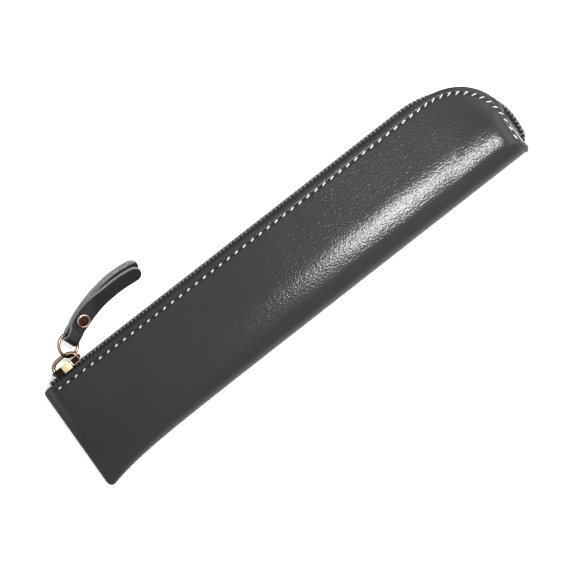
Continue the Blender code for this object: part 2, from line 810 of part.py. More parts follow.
def make_pull_strap(mat, group, helpers):
    strap = Strap()
    rows = []
    leaf_marks = [1.0, 0.985, 0.955, 0.9, 0.8, 0.68, 0.55, 0.42, 0.32, 0.23, 0.16, 0.11, 0.065]
    spots = (-1.0, -0.5, 0.0, 0.5, 1.0)

    def leaf_row(share, side):
        distance = STRAP_LENGTH * share
        place, width, normal = strap.frame(distance)
        centre = place + normal * side * strap.apart(distance)
        return [centre + width * strap.half_width(distance) * spot for spot in spots]

    rows.extend(leaf_row(share, FRONT) for share in leaf_marks)
    place, width, normal = strap.frame(0.0)
    along = width.cross(normal).normalized()
    turns = 6
    for k in range(turns + 1):
        angle = math.pi * k / turns
        centre = place + strap.fold_radius * (math.cos(angle) * normal - math.sin(angle) * along)
        rows.append([centre + width * strap.half_width(0.0) * spot for spot in spots])
    rows.extend(leaf_row(share, BACK) for share in reversed(leaf_marks))
    mesh = mesh_from_rows("pull_strap", rows)
    smooth(mesh, 50)
    obj = add_object("pull_strap", mesh, mat, group)
    solidify(obj, STRAP_LEATHER, 0.0)
    place, _, normal = strap.frame(RIVET_DISTANCE)
    drill_length = 6.5 * STRAP_LEATHER
    drill = cylinder_mesh("rivet_hole", 0.5 * RIVET_POST + CLEARANCE, drill_length, place, normal)
    boolean(obj, add_helper("rivet_hole", drill, helpers), "DIFFERENCE")
    return obj


def cylinder_mesh(name, radius, length, centre, axis, segments=20):
    bm = bmesh.new()
    bmesh.ops.create_cone(
        bm, cap_ends=True, segments=segments, radius1=radius, radius2=radius, depth=length
    )
    turn = Vector(axis).to_track_quat("Z", "Y").to_matrix().to_4x4()
    bmesh.ops.transform(bm, matrix=Matrix.Translation(centre) @ turn, verts=bm.verts)
    mesh = bpy.data.meshes.new(name)
    bm.to_mesh(mesh)
    bm.free()
    return mesh


def turned_mesh(name, profile, centre, axis, segments=24):
    """A turned shape from a closed profile of radius and height, both ends on the axis."""
    bm = bmesh.new()
    verts = [bm.verts.new((radius, 0.0, height)) for radius, height in profile]
    edges = [bm.edges.new(pair) for pair in zip(verts, verts[1:])]
    bmesh.ops.spin(
        bm,
        geom=verts + edges,
        cent=(0, 0, 0),
        axis=(0, 0, 1),
        angle=2 * math.pi,
        steps=segments,
        use_merge=True,
    )
    bmesh.ops.remove_doubles(bm, verts=bm.verts, dist=0.001 * MM)
    bmesh.ops.recalc_face_normals(bm, faces=bm.faces)
    turn = Vector(axis).to_track_quat("Z", "Y").to_matrix().to_4x4()
    bmesh.ops.transform(bm, matrix=Matrix.Translation(centre) @ turn, verts=bm.verts)
    mesh = bpy.data.meshes.new(name)
    bm.to_mesh(mesh)
    bm.free()
    smooth(mesh)
    return mesh


def make_rivet(mat, group):
    strap = Strap()
    place, _, normal = strap.frame(RIVET_DISTANCE)
    face = strap.apart(RIVET_DISTANCE) + 0.5 * STRAP_LEATHER + RIVET_SEAT
    head = 0.5 * RIVET_HEAD
    crown = RIVET_HEAD_THICKNESS
    cap_profile = [
        (0.0, 0.0),
        (0.94 * head, 0.0),
        (head, 0.3 * crown),
        (0.86 * head, 0.75 * crown),
        (0.5 * head, crown),
        (0.0, crown),
    ]
    cap = turned_mesh("rivet_cap", cap_profile, place + normal * face, normal)
    post = 0.5 * RIVET_POST
    reach = 2.0 * face - CLEARANCE
    back_profile = [
        (0.0, -crown),
        (0.9 * head, -crown),
        (head, -0.5 * crown),
        (0.95 * head, 0.0),
        (post, 0.0),
        (post, reach),
        (0.0, reach),
    ]
    back = turned_mesh("rivet_back", back_profile, place - normal * face, normal)
    add_object("rivet_cap", cap, mat, group)
    add_object("rivet_back", back, mat, group)


def main():
    clear_scene()
    group = make_collection("zippered_pencil_pouch")
    helpers = make_collection("cutters")
    hide = make_material("slate_leather", (0.066, 0.068, 0.074), 0.46)
    make_leather_body(hide, group)
    woven = make_material("woven_tape", (0.02, 0.02, 0.022), 0.85)
    make_tape("zip_tape_front", FRONT, woven, group)
    make_tape("zip_tape_back", BACK, woven.copy(), group)
    nylon = make_material("nylon_coil", (0.025, 0.025, 0.028), 0.5)
    make_coil("zip_coil_front", FRONT, nylon, group)
    make_coil("zip_coil_back", BACK, nylon.copy(), group)
    thread = make_material("pale_thread", (0.55, 0.55, 0.56), 0.7)
    make_stitching("stitching_front", FRONT, thread, group)
    make_stitching("stitching_back", BACK, thread.copy(), group)
    make_end_seam_thread(make_material("dark_thread", (0.05, 0.05, 0.055), 0.8), group)
    brass = make_material("pale_brass", (0.75, 0.5, 0.3), 0.25, 1.0)
    make_slider_body(brass, group, helpers)
    make_slider_bridge(brass.copy(), group)
    make_pull_ring(brass.copy(), group)
    make_pull_strap(make_material("strap_leather", (0.075, 0.077, 0.083), 0.5), group, helpers)
    make_rivet(brass.copy(), group)


main()
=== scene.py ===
"""Looks of the zippered pencil pouch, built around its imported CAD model.

Metres, +Z up. X runs along the pouch towards its rounded end, the zip is on the +Y side, and the
pouch lies on its back panel at Z = 0. Run it as a script: it registers its tools, models every
piece with them, and leaves a panel in the 3D view's sidebar.
"""

import math
from bisect import bisect_left

import bmesh
import bpy
import numpy as np
from bpy.props import FloatProperty, FloatVectorProperty, PointerProperty
from bpy.types import Operator, Panel, PropertyGroup
from mathutils import Matrix, Vector, noise
from mathutils.bvhtree import BVHTree


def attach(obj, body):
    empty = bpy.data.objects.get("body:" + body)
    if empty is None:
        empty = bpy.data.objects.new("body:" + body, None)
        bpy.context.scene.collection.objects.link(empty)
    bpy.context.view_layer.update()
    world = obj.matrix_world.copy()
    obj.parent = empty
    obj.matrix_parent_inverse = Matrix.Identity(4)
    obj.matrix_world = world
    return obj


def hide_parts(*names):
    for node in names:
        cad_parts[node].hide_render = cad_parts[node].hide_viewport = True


bl_info = {
    "name": "Zippered pencil pouch",
    "version": (1, 0, 0),
    "blender": (4, 5, 0),
    "location": "View3D > Sidebar > Pouch",
    "description": "Models the leather, zip, stitching, slider and strap of a slim pencil pouch",
    "category": "Add Mesh",
}

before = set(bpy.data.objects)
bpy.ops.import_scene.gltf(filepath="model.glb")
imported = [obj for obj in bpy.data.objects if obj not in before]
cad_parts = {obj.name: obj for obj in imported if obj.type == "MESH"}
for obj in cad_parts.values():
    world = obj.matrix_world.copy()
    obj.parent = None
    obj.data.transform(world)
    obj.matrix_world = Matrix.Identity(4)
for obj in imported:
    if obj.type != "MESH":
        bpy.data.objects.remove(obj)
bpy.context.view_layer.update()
MM = 0.001
FRONT = 1
BACK = -1
SIDES = (("front", FRONT), ("back", BACK))

# Outline and section of the pouch, as in the CAD model
SEWN_END_X = -104.9 * MM
SEWN_END_SLANT = 2.1 * MM
EDGE_START_X = SEWN_END_X + SEWN_END_SLANT
CURVE_START_X = 78.0 * MM
CURVE_REACH = 24.8 * MM
CURVE_TURN_Y = -4.0 * MM
CURVE_FULLNESS = 2.15
CORNER_X = 101.2 * MM
EDGE_Y = 18.9 * MM
EDGE_RISE = 0.95 * MM
EDGE_RISE_LENGTH = 22.0 * MM
FOLD_Y = -21.4 * MM
CORNER_WIDTH = 2.8 * MM
EAR_DROP = 3.9 * MM
EAR_LENGTH = 14.0 * MM
EAR_ROUNDING = 3.2 * MM
TOP_ROUNDING = 1.5 * MM
TIP_ROUNDING = 2.5 * MM
TIP_FLARE = 0.6 * MM
END_ROUNDING = 1.0 * MM
LEATHER = 1.2 * MM
FOLD_RADIUS = 7.5 * MM
MOUTH = 7.6 * MM
EDGE_LIFT = 1.3 * MM
EDGE_LIFT_WIDTH = 42.0 * MM
LIFT_LENGTH = 17.0 * MM
PANEL_CROWN_WIDTH = 12.0 * MM
SEWN_THICKNESS = 5.2 * MM
CORNER_THICKNESS = 3.4 * MM
SWELL_LENGTH = 45.0 * MM
MOUTH_CLOSING = 5.0 * MM
CORNER_TAPER = 32.0 * MM
CORNER_CLOSING = 24.0 * MM
SEAM_GROOVE = 0.7 * MM
SQUEEZE = LEATHER + SEAM_GROOVE

# Zip, as in the CAD model
COIL_Y = 20.35 * MM
COIL_HEIGHT = 2.1 * MM
COIL_WIDTH = 2.1 * MM
COIL_PITCH = 1.77 * MM
COIL_START_X = -98.4 * MM
COIL_CURVE_X = 70.0 * MM
COIL_REACH = 33.7 * MM
COIL_TURN_Y = -7.8 * MM
COIL_END_Y = -13.6 * MM
COIL_END_INSET = 0.5 * MM
COIL_TUCK = (
    (0.1 * MM, 0.8 * MM),
    (0.4 * MM, 1.7 * MM),
    (1.0 * MM, 2.7 * MM),
    (1.8 * MM, 3.6 * MM),
    (2.7 * MM, 4.3 * MM),
)
COIL_TUCK_LENGTH = 5.2 * MM
ZIP_Z = EDGE_LIFT + 0.5 * MOUTH + LEATHER
SLIDER_X = -89.2 * MM
PLATE_UNDERSIDE = COIL_Y + 0.5 * COIL_HEIGHT + 0.35 * MM
PLATE_TOP = PLATE_UNDERSIDE + 1.55 * MM
FLANGE_REACH = 4.15 * MM
BRIDGE_SPAN = 11.2 * MM
BRIDGE_RISE = 3.5 * MM
STITCH_START_X = -98.2 * MM
SHORT_STITCH_X = 70.0 * MM
SHORT_STITCH = 0.93

# Pull, as in the CAD model
RING_CENTRE = Vector((SLIDER_X + 5.2 * MM, COIL_Y + 7.75 * MM, ZIP_Z + 0.13 * MM))
RING_NORMAL = Vector((0.471, -0.367, 0.803)).normalized()
RING_OUTER = 9.8 * MM
RING_WIRE = 1.1 * MM
STRAP_LEATHER = 1.2 * MM
STRAP_WIDTH = 7.0 * MM
STRAP_FOLD_WIDTH = 5.4 * MM
STRAP_LENGTH = 38.3 * MM
STRAP_TILT = math.radians(47)
STRAP_LEAF_GAP = 0.5 * MM
STRAP_SPLAY = 1.5 * MM
STRAP_TURN = math.radians(18)
STRAP_END_TURN = math.radians(-13)
STRAP_TWIST_END = 0.6
RIVET_DISTANCE = 8.2 * MM
RIVET_HEAD = 5.4 * MM
FOLD_PLAY = 0.6 * MM
REAR_LEAF_RISE = 0.9 * MM

# Shapes of the scene alone
FRONT_EDGE_X = 100.7 * MM
RETREAT_LENGTH = 18.5 * MM
RETREAT_EASE = 8.0 * MM
RETREAT_TIP = 1.5 * MM
RETREAT_WIDTH = 6.0 * MM
RIM_ROUNDING = 0.38 * MM
SPIKE = 0.9 * MM
TAPE_ROOM = 0.5 * MM
TAPE_THICKNESS = 0.45 * MM
TAPE_START_X = -99.5 * MM
TAPE_PAST_COIL = 1.0 * MM
TAPE_TOP = 0.9 * MM
TAPE_BOTTOM = 7.0 * MM
TAPE_LEG = 5.0 * MM
TAPE_CLEARANCE = 0.3 * MM
TAPE_SLACK = 0.35 * MM
TAPE_SLACK_LENGTH = 30.0 * MM
TAPE_UNDER_EDGE = 0.7 * MM
TAPE_SLIT = 0.35 * MM
TAPE_SAG = 0.12 * MM
COIL_WIDENING = 0.3 * MM
COIL_GAP = 0.2 * MM
COIL_CORD = 0.42 * MM
LEAN_LENGTH = 62.0 * MM
LEAN_TIP = 4.0 * MM
LEAN_EASE = 20.0 * MM
STITCH_SHARE = 0.57
WIRE_PLATING = 0.08 * MM

# Painted light by place: a painted highlight strip by the front edge, painted highlight on its cut rim, and
# painted light on the tape's leg, all at the rounded end
PALE_X = (FRONT_EDGE_X - 0.28 * MM, FRONT_EDGE_X - 0.18 * MM)
PALE_Y_LOW = (-17.6 * MM, -17.0 * MM)
PALE_Y_HIGH = (-10.2 * MM, -8.6 * MM)
PALE_Z = (3.4 * MM, 3.8 * MM)
HIGHLIGHT_RIM_LENGTH = 12.0 * MM
GREY_TAPE_LENGTH = 22.0 * MM
PAINTED_HIGHLIGHT_LEATHER = (0.46, 0.46, 0.46)
PAINTED_HIGHLIGHT_FIBRES = ((0.10, 0.10, 0.10), (0.28, 0.28, 0.28))
PAINTED_LIGHT_TAPE = ((0.03, 0.03, 0.032), (0.09, 0.09, 0.094))
# Painted shade in the needle holes
NEEDLE_HOLE_SHADE = (0.002, 0.002, 0.002)
# Painted shade between the strap's leaves
SHADE_BETWEEN_LEAVES = (0.001, 0.001, 0.001)
# Painted shade: the same thread as the stitches, darkened for the seam hidden inside the turned end
SHADED_HIDDEN_THREAD = (0.03, 0.03, 0.033)


def length_property(name, description, default):
    return FloatProperty(name=name, description=description, default=default, unit="LENGTH")


def colour_property(name, description, default):
    return FloatVectorProperty(
        name=name, description=description, default=default, subtype="COLOR", size=3, min=0.0, max=1.0
    )


class PouchHideSettings(PropertyGroup):
    colour: colour_property("Leather", "Colour of the smooth leather face", (0.0080, 0.0081, 0.0088))
    edge_colour: colour_property("Cut edge", "Colour of the raw cut edge", (0.012, 0.012, 0.013))
    pebble: length_property("Pebble", "Size of the leather's grain", 0.00042)
    waver: length_property("Waver", "How far the panels wave between their seams", 0.00006)
    edge_retreat: length_property(
        "Edge retreat", "How far the front edge draws back from the zip at the rounded end", 0.0014
    )


class PouchZipSettings(PropertyGroup):
    coil_colour: colour_property("Coil", "Colour of the nylon coil", (0.05, 0.05, 0.052))
    tape_colour: colour_property("Tape", "Colour of the woven tape", (0.006, 0.006, 0.0065))
    filament: length_property("Filament", "Thickness of the coil's filament", 0.00074)


class PouchStitchSettings(PropertyGroup):
    colour: colour_property("Thread", "Colour of the sewing thread", (0.40, 0.40, 0.415))
    thread: length_property("Thread thickness", "Thickness of the thread on the surface", 0.00056)
    pitch: length_property("Pitch", "Length of one stitch", 0.00385)
    inset: length_property("Inset", "Distance of the seam from the cut edge", 0.00245)
    slant: length_property("Slant", "How far each stitch leans across the seam", 0.00028)


class PouchPullSettings(PropertyGroup):
    metal: colour_property("Metal", "Colour of the plated slider and ring", (0.30, 0.20, 0.125))
    copper: colour_property("Rivet", "Colour of the rivet's face", (0.04, 0.018, 0.013))
    # Painted highlight: the flange is the bright copy of the slider's metal, where it catches the light
    gold: colour_property("Gold", "Colour of the slider's polished flange", (0.50, 0.41, 0.24))
    rim: colour_property("Rim", "Colour of the thin rims on slider and rivet", (0.38, 0.25, 0.205))
    # Painted shade and painted dark reflection: near-black metal for the slider body, the pocket faces and
    # the sides of arch and ring
    shade_bronze: colour_property("Bronze", "Colour of the slider's dark plating", (0.014, 0.008, 0.007))
    suede: colour_property("Suede", "Colour of the strap's rough back", (0.10, 0.102, 0.097))


class PouchStageSettings(PropertyGroup):
    floor_colour: colour_property("Floor", "Colour of the plain floor", (0.96, 0.96, 0.96))
    key_power: FloatProperty(name="Key light", description="Power of the narrow light above", default=1.25)
    fill_power: FloatProperty(
        name="Fill light", description="Power of the light beside the rounded end", default=2.3
    )
    sky: FloatProperty(name="Surroundings", description="Brightness of the white room", default=1.6)


def ease(value):
    value = min(max(value, 0.0), 1.0)
    return value * value * (3.0 - 2.0 * value)


class Line:
    """A polyline in the XY plane that is read by its length."""

    def __init__(self, points):
        self.points = [Vector(point).to_2d() for point in points]
        corners = np.array([point[:] for point in self.points])
        runs = np.diff(corners, axis=0)
        lengths = np.linalg.norm(runs, axis=1)
        self.parts = (corners[:-1], runs, lengths)
        self.marks = [0.0, *np.cumsum(lengths).tolist()]
        self.length = self.marks[-1]

    def at(self, distance):
        distance = min(max(distance, 0.0), self.length)
        high = max(bisect_left(self.marks, distance), 1)
        share = (distance - self.marks[high - 1]) / (self.marks[high] - self.marks[high - 1])
        return self.points[high - 1].lerp(self.points[high], share)

    def outward(self, distance):
        step = 0.5 * MM
        run = self.at(distance + step) - self.at(distance - step)
        return Vector((-run.y, run.x)).normalized()

    def nearest(self, x, y):
        """Mark of the nearest place on the line, and its distance."""
        marks, gaps = self.nearest_many(np.array([[x, y]]))
        return float(marks[0]), float(gaps[0])

    def nearest_many(self, places):
        """The same for an array of places."""
        starts, runs, lengths = self.parts
        offsets = places[:, None, :] - starts[None, :, :]
        shares = np.clip((offsets * runs).sum(axis=2) / (lengths**2), 0.0, 1.0)
        gaps = np.linalg.norm(offsets - runs * shares[:, :, None], axis=2)
        best = gaps.argmin(axis=1)
        rows = np.arange(len(places))
        marks = np.array(self.marks)[best] + shares[rows, best] * lengths[best]
        return marks, gaps[rows, best]


def edge_y(x):
    return EDGE_Y + EDGE_RISE * math.exp((EDGE_START_X - x) / EDGE_RISE_LENGTH)


def fold_y(x):
    return FOLD_Y - EAR_DROP * math.exp((SEWN_END_X - x) / EAR_LENGTH)


def quarter_turn(centre_x, turn_y, reach, rise, fullness, angle):
    power = 2.0 / fullness
    return centre_x + reach * math.sin(angle) ** power, turn_y + rise * math.cos(angle) ** power


def edge_line():
    points = []
    run = CURVE_START_X - EDGE_START_X
    for k in range(60):
        x = EDGE_START_X + run * k / 60
        points.append((x, edge_y(x)))
    rise = edge_y(CURVE_START_X) - CURVE_TURN_Y
    for k in range(41):
        angle = math.pi / 2 * k / 40
        points.append(quarter_turn(CURVE_START_X, CURVE_TURN_Y, CURVE_REACH, rise, CURVE_FULLNESS, angle))
    end_y = fold_y(CORNER_X) + CORNER_WIDTH
    inset = CURVE_START_X + CURVE_REACH - CORNER_X
    for k in range(1, 9):
        x = CURVE_START_X + CURVE_REACH - inset * ease(k / 8)
        points.append((x, CURVE_TURN_Y + (end_y - CURVE_TURN_Y) * k / 8))
    return Line(points)


def coil_line():
    points = [(COIL_START_X + (COIL_CURVE_X - COIL_START_X) * k / 80, COIL_Y) for k in range(80)]
    for k in range(101):
        angle = math.pi / 2 * k / 100
        points.append(quarter_turn(COIL_CURVE_X, COIL_TURN_Y, COIL_REACH, COIL_Y - COIL_TURN_Y, 2.0, angle))
    for k in range(1, 17):
        share = k / 16
        x = COIL_CURVE_X + COIL_REACH - COIL_END_INSET * share**1.8
        points.append((x, COIL_TURN_Y + (COIL_END_Y - COIL_TURN_Y) * share))
    for offset_x, offset_y in COIL_TUCK:
        points.append((x - offset_x, COIL_END_Y - offset_y))
    return Line(points)


EDGE = edge_line()
COIL = coil_line()


def lift_at(mark, gap):
    """How far the hide rises off the ground, by its distance from the cut edge."""
    return EDGE_LIFT * ease(mark / LIFT_LENGTH) * max(1.0 - gap / EDGE_LIFT_WIDTH, 0.0) ** 2


def edge_lift(x, y):
    return lift_at(*EDGE.nearest(x, y))


class Rib:
    """One section of the hide, from its fold to the panels' edge."""

    def __init__(self, mark):
        self.edge = EDGE.at(mark)
        turn_mark = CURVE_START_X - EDGE_START_X
        start = max(self.edge.x - EDGE_START_X, 0.0)
        if mark < turn_mark:
            fold_x = self.edge.x - SEWN_END_SLANT * (1.0 - ease(start / SWELL_LENGTH))
        else:
            share = (mark - turn_mark) / (EDGE.length - turn_mark)
            fold_x = CURVE_START_X + (CORNER_X - CURVE_START_X) * (1.0 - (1.0 - share) ** 2)
        self.fold = Vector((fold_x, fold_y(fold_x)))
        self.width = (self.edge - self.fold).length
        self.across = (self.edge - self.fold).normalized()
        rounding = 0.8 + 0.2 * math.sqrt(1.0 - (1.0 - min(start / END_ROUNDING, 1.0)) ** 2)
        sewn = 0.5 * SEWN_THICKNESS
        corner = 0.5 * CORNER_THICKNESS
        swell = 1.0 - math.exp(-((start / (0.4 * SWELL_LENGTH)) ** 1.3))
        full_nose = sewn + (FOLD_RADIUS - sewn) * swell
        closing = 1.0 - (1.0 - min((self.width - CORNER_WIDTH) / CORNER_TAPER, 1.0)) ** 2
        self.nose = rounding * (corner + (full_nose - corner) * closing)
        full_edge = 0.5 * MOUTH + LEATHER
        ending = ease((EDGE.length - mark) / CORNER_CLOSING)
        edge_half = sewn + (full_edge - sewn) * ease(start / MOUTH_CLOSING)
        self.edge_half = rounding * (corner + (edge_half - corner) * ending)

    def half(self, depth):
        if depth < self.nose:
            return math.sqrt(max(self.nose**2 - (self.nose - depth) ** 2, 0.0))
        share = min((depth - self.nose) / (self.width - self.nose), 1.0)
        crown = min(PANEL_CROWN_WIDTH / (self.width - self.nose), 0.6)
        drop = share * share / (2.0 * crown) if share < crown else share - 0.5 * crown
        return self.nose + (self.edge_half - self.nose) * drop / (1.0 - 0.5 * crown)

    def middle(self, depth):
        """Height of the section's middle plane above the ground, without the edge's lift."""
        return self.nose if depth < self.nose else self.half(depth)

    def point(self, around, inset):
        """A place on the hide: around is -1 at the back edge, 0 at the fold and 1 at the front."""
        side = FRONT if around >= 0.0 else BACK
        arc = 0.5 * math.pi * self.nose
        run = abs(around) * (arc + self.width - self.nose)
        if run < arc:
            angle = run / self.nose
            depth = self.nose - (self.nose - inset) * math.cos(angle)
            height = self.nose + side * (self.nose - inset) * math.sin(angle)
        else:
            depth = self.nose + run - arc
            half = self.half(depth)
            height = half + side * (half - inset)
        flat = self.fold + self.across * depth
        return Vector((flat.x, flat.y, height))

    def middle_z(self):
        return self.edge_half + edge_lift(self.edge.x, self.edge.y)


def side_of_rib(mark, place):
    rib = Rib(mark)
    offset = place - rib.fold
    return rib.across.x * offset.y - rib.across.y * offset.x


def hide_surface(place, side):
    """Height of a panel's outer surface above or below a place in the plan."""
    near = 0.0
    far = min(EDGE.nearest(place.x, place.y)[0] + CORNER_CLOSING, EDGE.length)
    for _ in range(24):
        middle = 0.5 * (near + far)
        if side_of_rib(middle, place) < 0.0:
            near = middle
        else:
            far = middle
    rib = Rib(near)
    depth = (place - rib.fold).dot(rib.across)
    return rib.middle(depth) + side * rib.half(depth) + edge_lift(place.x, place.y)


def inside_edge(mark, inset, side):
    flat = EDGE.at(mark) - EDGE.outward(mark) * inset
    return Vector((flat.x, flat.y, hide_surface(flat, side)))


def waver(point, amount):
    """Soft unevenness of a panel, which fades towards the ground."""
    wave = noise.noise(Vector((point.x * 26.0, point.y * 60.0, 3.0)))
    wave += 0.5 * noise.noise(Vector((point.x * 70.0, point.y * 120.0, 9.0)))
    return amount * wave * ease((point.z - 3.0 * MM) / (6.0 * MM))


# Mesh helpers


def new_piece(name, bm, mats):
    """Makes the finished object of a piece from a bmesh."""
    mesh = bpy.data.meshes.new(name)
    bm.to_mesh(mesh)
    bm.free()
    return new_object(name, mesh, mats)


def new_object(name, mesh, mats):
    obj = bpy.data.objects.new(name, mesh)
    for mat in mats:
        mesh.materials.append(mat)
    bpy.context.scene.collection.objects.link(obj)
    return obj


def shade(mesh, degrees):
    mesh.shade_smooth()
    mesh.set_sharp_from_angle(angle=math.radians(degrees))


def face_outwards(bm):
    bmesh.ops.recalc_face_normals(bm, faces=bm.faces)
    if bm.calc_volume(signed=True) < 0:
        bmesh.ops.reverse_faces(bm, faces=bm.faces)


def round_edges(bm, edges, width, material):
    bmesh.ops.bevel(
        bm,
        geom=edges,
        offset=width,
        offset_type="OFFSET",
        segments=2,
        profile=0.5,
        affect="EDGES",
        material=material,
    )


def spin_round(bm, geom, steps):
    """Sweeps a profile once round the Z axis."""
    bmesh.ops.spin(
        bm, geom=geom, cent=(0, 0, 0), axis=(0, 0, 1), angle=2 * math.pi, steps=steps, use_merge=True
    )


def thicken(obj, thickness):
    """Gives a sheet its thickness, half to each side."""
    wall = obj.modifiers.new("thickness", "SOLIDIFY")
    wall.thickness = thickness
    wall.offset = 0.0
    wall.use_quality_normals = True
    return wall


def leather_tree():
    """The finished leather, ready for rays."""
    leather = bmesh.new()
    leather.from_mesh(bpy.data.objects["leather_hide"].data)
    tree = BVHTree.FromBMesh(leather)
    leather.free()
    return tree


def cover(node, mat):
    """Lays a material on a solid that stays in view."""
    node.data.materials.clear()
    node.data.materials.append(mat)


def mapped_grid(bm, columns, rows, place):
    """A grid whose corners are laid where place(column, row) says; returns its verts by place."""
    made = bmesh.ops.create_grid(bm, x_segments=columns, y_segments=rows, size=0.5)
    table = {}
    for vert in made["verts"]:
        key = (round((vert.co.x + 0.5) * columns), round((vert.co.y + 0.5) * rows))
        table[key] = vert
    for (column, row), vert in table.items():
        vert.co = place(column, row)
    return table


def write_seam_uv(bm, name, rows=None):
    """UV in metres: along the cut edge, and away from it or as rows gives it."""
    layer = bm.loops.layers.uv.new(name)
    bm.verts.index_update()
    verts = list(bm.verts)
    marks, gaps = EDGE.nearest_many(np.array([vert.co.xy[:] for vert in verts]))
    for face in bm.faces:
        for loop in face.loops:
            index = loop.vert.index
            loop[layer].uv = (marks[index], gaps[index] if rows is None else rows[loop.vert])


def tube_mesh(name, points, radius, sides=2):
    """A swept tube as a welded mesh."""
    curve = bpy.data.curves.new(name, "CURVE")
    curve.dimensions = "3D"
    curve.bevel_depth = radius
    curve.bevel_resolution = sides
    curve.use_fill_caps = True
    spline = curve.splines.new("POLY")
    spline.points.add(len(points) - 1)
    for target, point in zip(spline.points, points):
        target.co = (*point, 1.0)
    holder = bpy.data.objects.new(name, curve)
    bpy.context.scene.collection.objects.link(holder)
    depsgraph = bpy.context.evaluated_depsgraph_get()
    mesh = bpy.data.meshes.new_from_object(holder.evaluated_get(depsgraph))
    bpy.data.objects.remove(holder)
    bpy.data.curves.remove(curve)
    bm = bmesh.new()
    bm.from_mesh(mesh)
    bmesh.ops.remove_doubles(bm, verts=bm.verts, dist=0.001 * MM)
    bmesh.ops.recalc_face_normals(bm, faces=bm.faces)
    bm.to_mesh(mesh)
    bm.free()
    mesh.name = name
    shade(mesh, 70)
    return mesh


def turned_piece(name, profile, centre, axis, mats):
    """A turned shape from a profile of radius and height, placed on an axis."""
    bm = bmesh.new()
    verts = [bm.verts.new((radius, 0.0, height)) for radius, height in profile]
    edges = [bm.edges.new(pair) for pair in zip(verts, verts[1:])]
    spin_round(bm, verts + edges, 48)
    bmesh.ops.remove_doubles(bm, verts=bm.verts, dist=0.001 * MM)
    face_outwards(bm)
    turn = Vector(axis).to_track_quat("Z", "Y").to_matrix().to_4x4()
    bmesh.ops.transform(bm, matrix=Matrix.Translation(centre) @ turn, verts=bm.verts)
    obj = new_piece(name, bm, mats)
    shade(obj.data, 35)
    return obj


# Material helpers


class Nodes:
    """A material's node tree, with short calls for the nodes that the finishes share."""

    def __init__(self, name):
        self.mat = bpy.data.materials.new(name)
        self.mat.use_nodes = True
        self.tree = self.mat.node_tree
        self.shader = self.tree.nodes["Principled BSDF"]

    def add(self, kind, **settings):
        node = self.tree.nodes.new(kind)
        for key, value in settings.items():
            setattr(node, key, value)
        return node

    def link(self, source, target):
        self.tree.links.new(source, target)

    def feed(self, target, value):
        if isinstance(value, bpy.types.NodeSocket):
            self.link(value, target)
        else:
            target.default_value = value

    def object_space(self, scale=(1.0, 1.0, 1.0)):
        where = self.add("ShaderNodeTexCoord")
        mapping = self.add("ShaderNodeMapping")
        mapping.inputs["Scale"].default_value = scale
        self.link(where.outputs["Object"], mapping.inputs["Vector"])
        return mapping.outputs["Vector"]

    def uv(self, name):
        return self.add("ShaderNodeUVMap", uv_map=name).outputs["UV"]

    def split(self, vector):
        node = self.add("ShaderNodeSeparateXYZ")
        self.link(vector, node.inputs[0])
        return node.outputs

    def math(self, operation, first, second=0.0, third=0.0):
        node = self.add("ShaderNodeMath", operation=operation)
        for socket, value in zip(node.inputs, (first, second, third)):
            self.feed(socket, value)
        return node.outputs[0]

    def wave(self, value, length):
        return self.math("SINE", self.math("MULTIPLY", value, 2.0 * math.pi / length))

    def noise(self, vector, scale, detail, roughness=0.55):
        node = self.add("ShaderNodeTexNoise")
        self.link(vector, node.inputs["Vector"])
        node.inputs["Scale"].default_value = scale
        node.inputs["Detail"].default_value = detail
        node.inputs["Roughness"].default_value = roughness
        return node.outputs["Fac"]

    def cells(self, vector, scale):
        node = self.add("ShaderNodeTexVoronoi", feature="F1")
        self.link(vector, node.inputs["Vector"])
        node.inputs["Scale"].default_value = scale
        return node.outputs["Distance"]

    def spread(self, value, low, high, to_low=0.0, to_high=1.0):
        node = self.add("ShaderNodeMapRange")
        node.interpolation_type = "SMOOTHSTEP"
        self.feed(node.inputs["Value"], value)
        node.inputs["From Min"].default_value = low
        node.inputs["From Max"].default_value = high
        node.inputs["To Min"].default_value = to_low
        node.inputs["To Max"].default_value = to_high
        return node.outputs["Result"]

    def feed_colour(self, target, colour):
        self.feed(target, colour if isinstance(colour, bpy.types.NodeSocket) else (*colour, 1.0))

    def blend(self, share, first, second):
        node = self.add("ShaderNodeMix", data_type="RGBA")
        self.feed(node.inputs[0], share)
        self.feed_colour(node.inputs[6], first)
        self.feed_colour(node.inputs[7], second)
        return node.outputs[2]

    def bump(self, height, distance, strength=1.0, under=None):
        node = self.add("ShaderNodeBump")
        node.inputs["Strength"].default_value = strength
        node.inputs["Distance"].default_value = distance
        self.link(height, node.inputs["Height"])
        if under is not None:
            self.link(under, node.inputs["Normal"])
        return node.outputs["Normal"]

    def finish(self, colour, roughness, normal, **fixed):
        self.feed_colour(self.shader.inputs["Base Color"], colour)
        self.feed(self.shader.inputs["Roughness"], roughness)
        self.link(normal, self.shader.inputs["Normal"])
        for key, value in fixed.items():
            self.shader.inputs[key.replace("_", " ").title().replace("Ior", "IOR")].default_value = value
        return self.mat


def scaled(colour, factor):
    return tuple(min(channel * factor, 1.0) for channel in colour)


def grain(made, pebble):
    """Height of fine leather grain: shallow pebbles between creases, over soft mottling."""
    where = made.object_space()
    pebbles = made.cells(where, 0.75 / pebble)
    lumps = made.noise(where, 0.5 / pebble, 1.0, 0.5)
    height = made.math("MULTIPLY_ADD", pebbles, -0.3, lumps)
    return where, height


def highlight_window(made, painted_light, place_y, place_z):
    """Keeps a mask to the stretch of the rounded end where the front panel's edge gets its painted
    highlight.
    """
    painted_light = made.math("MULTIPLY", painted_light, made.spread(place_y, *PALE_Y_LOW))
    return made.math("MULTIPLY", painted_light, made.spread(place_z, *PALE_Z))


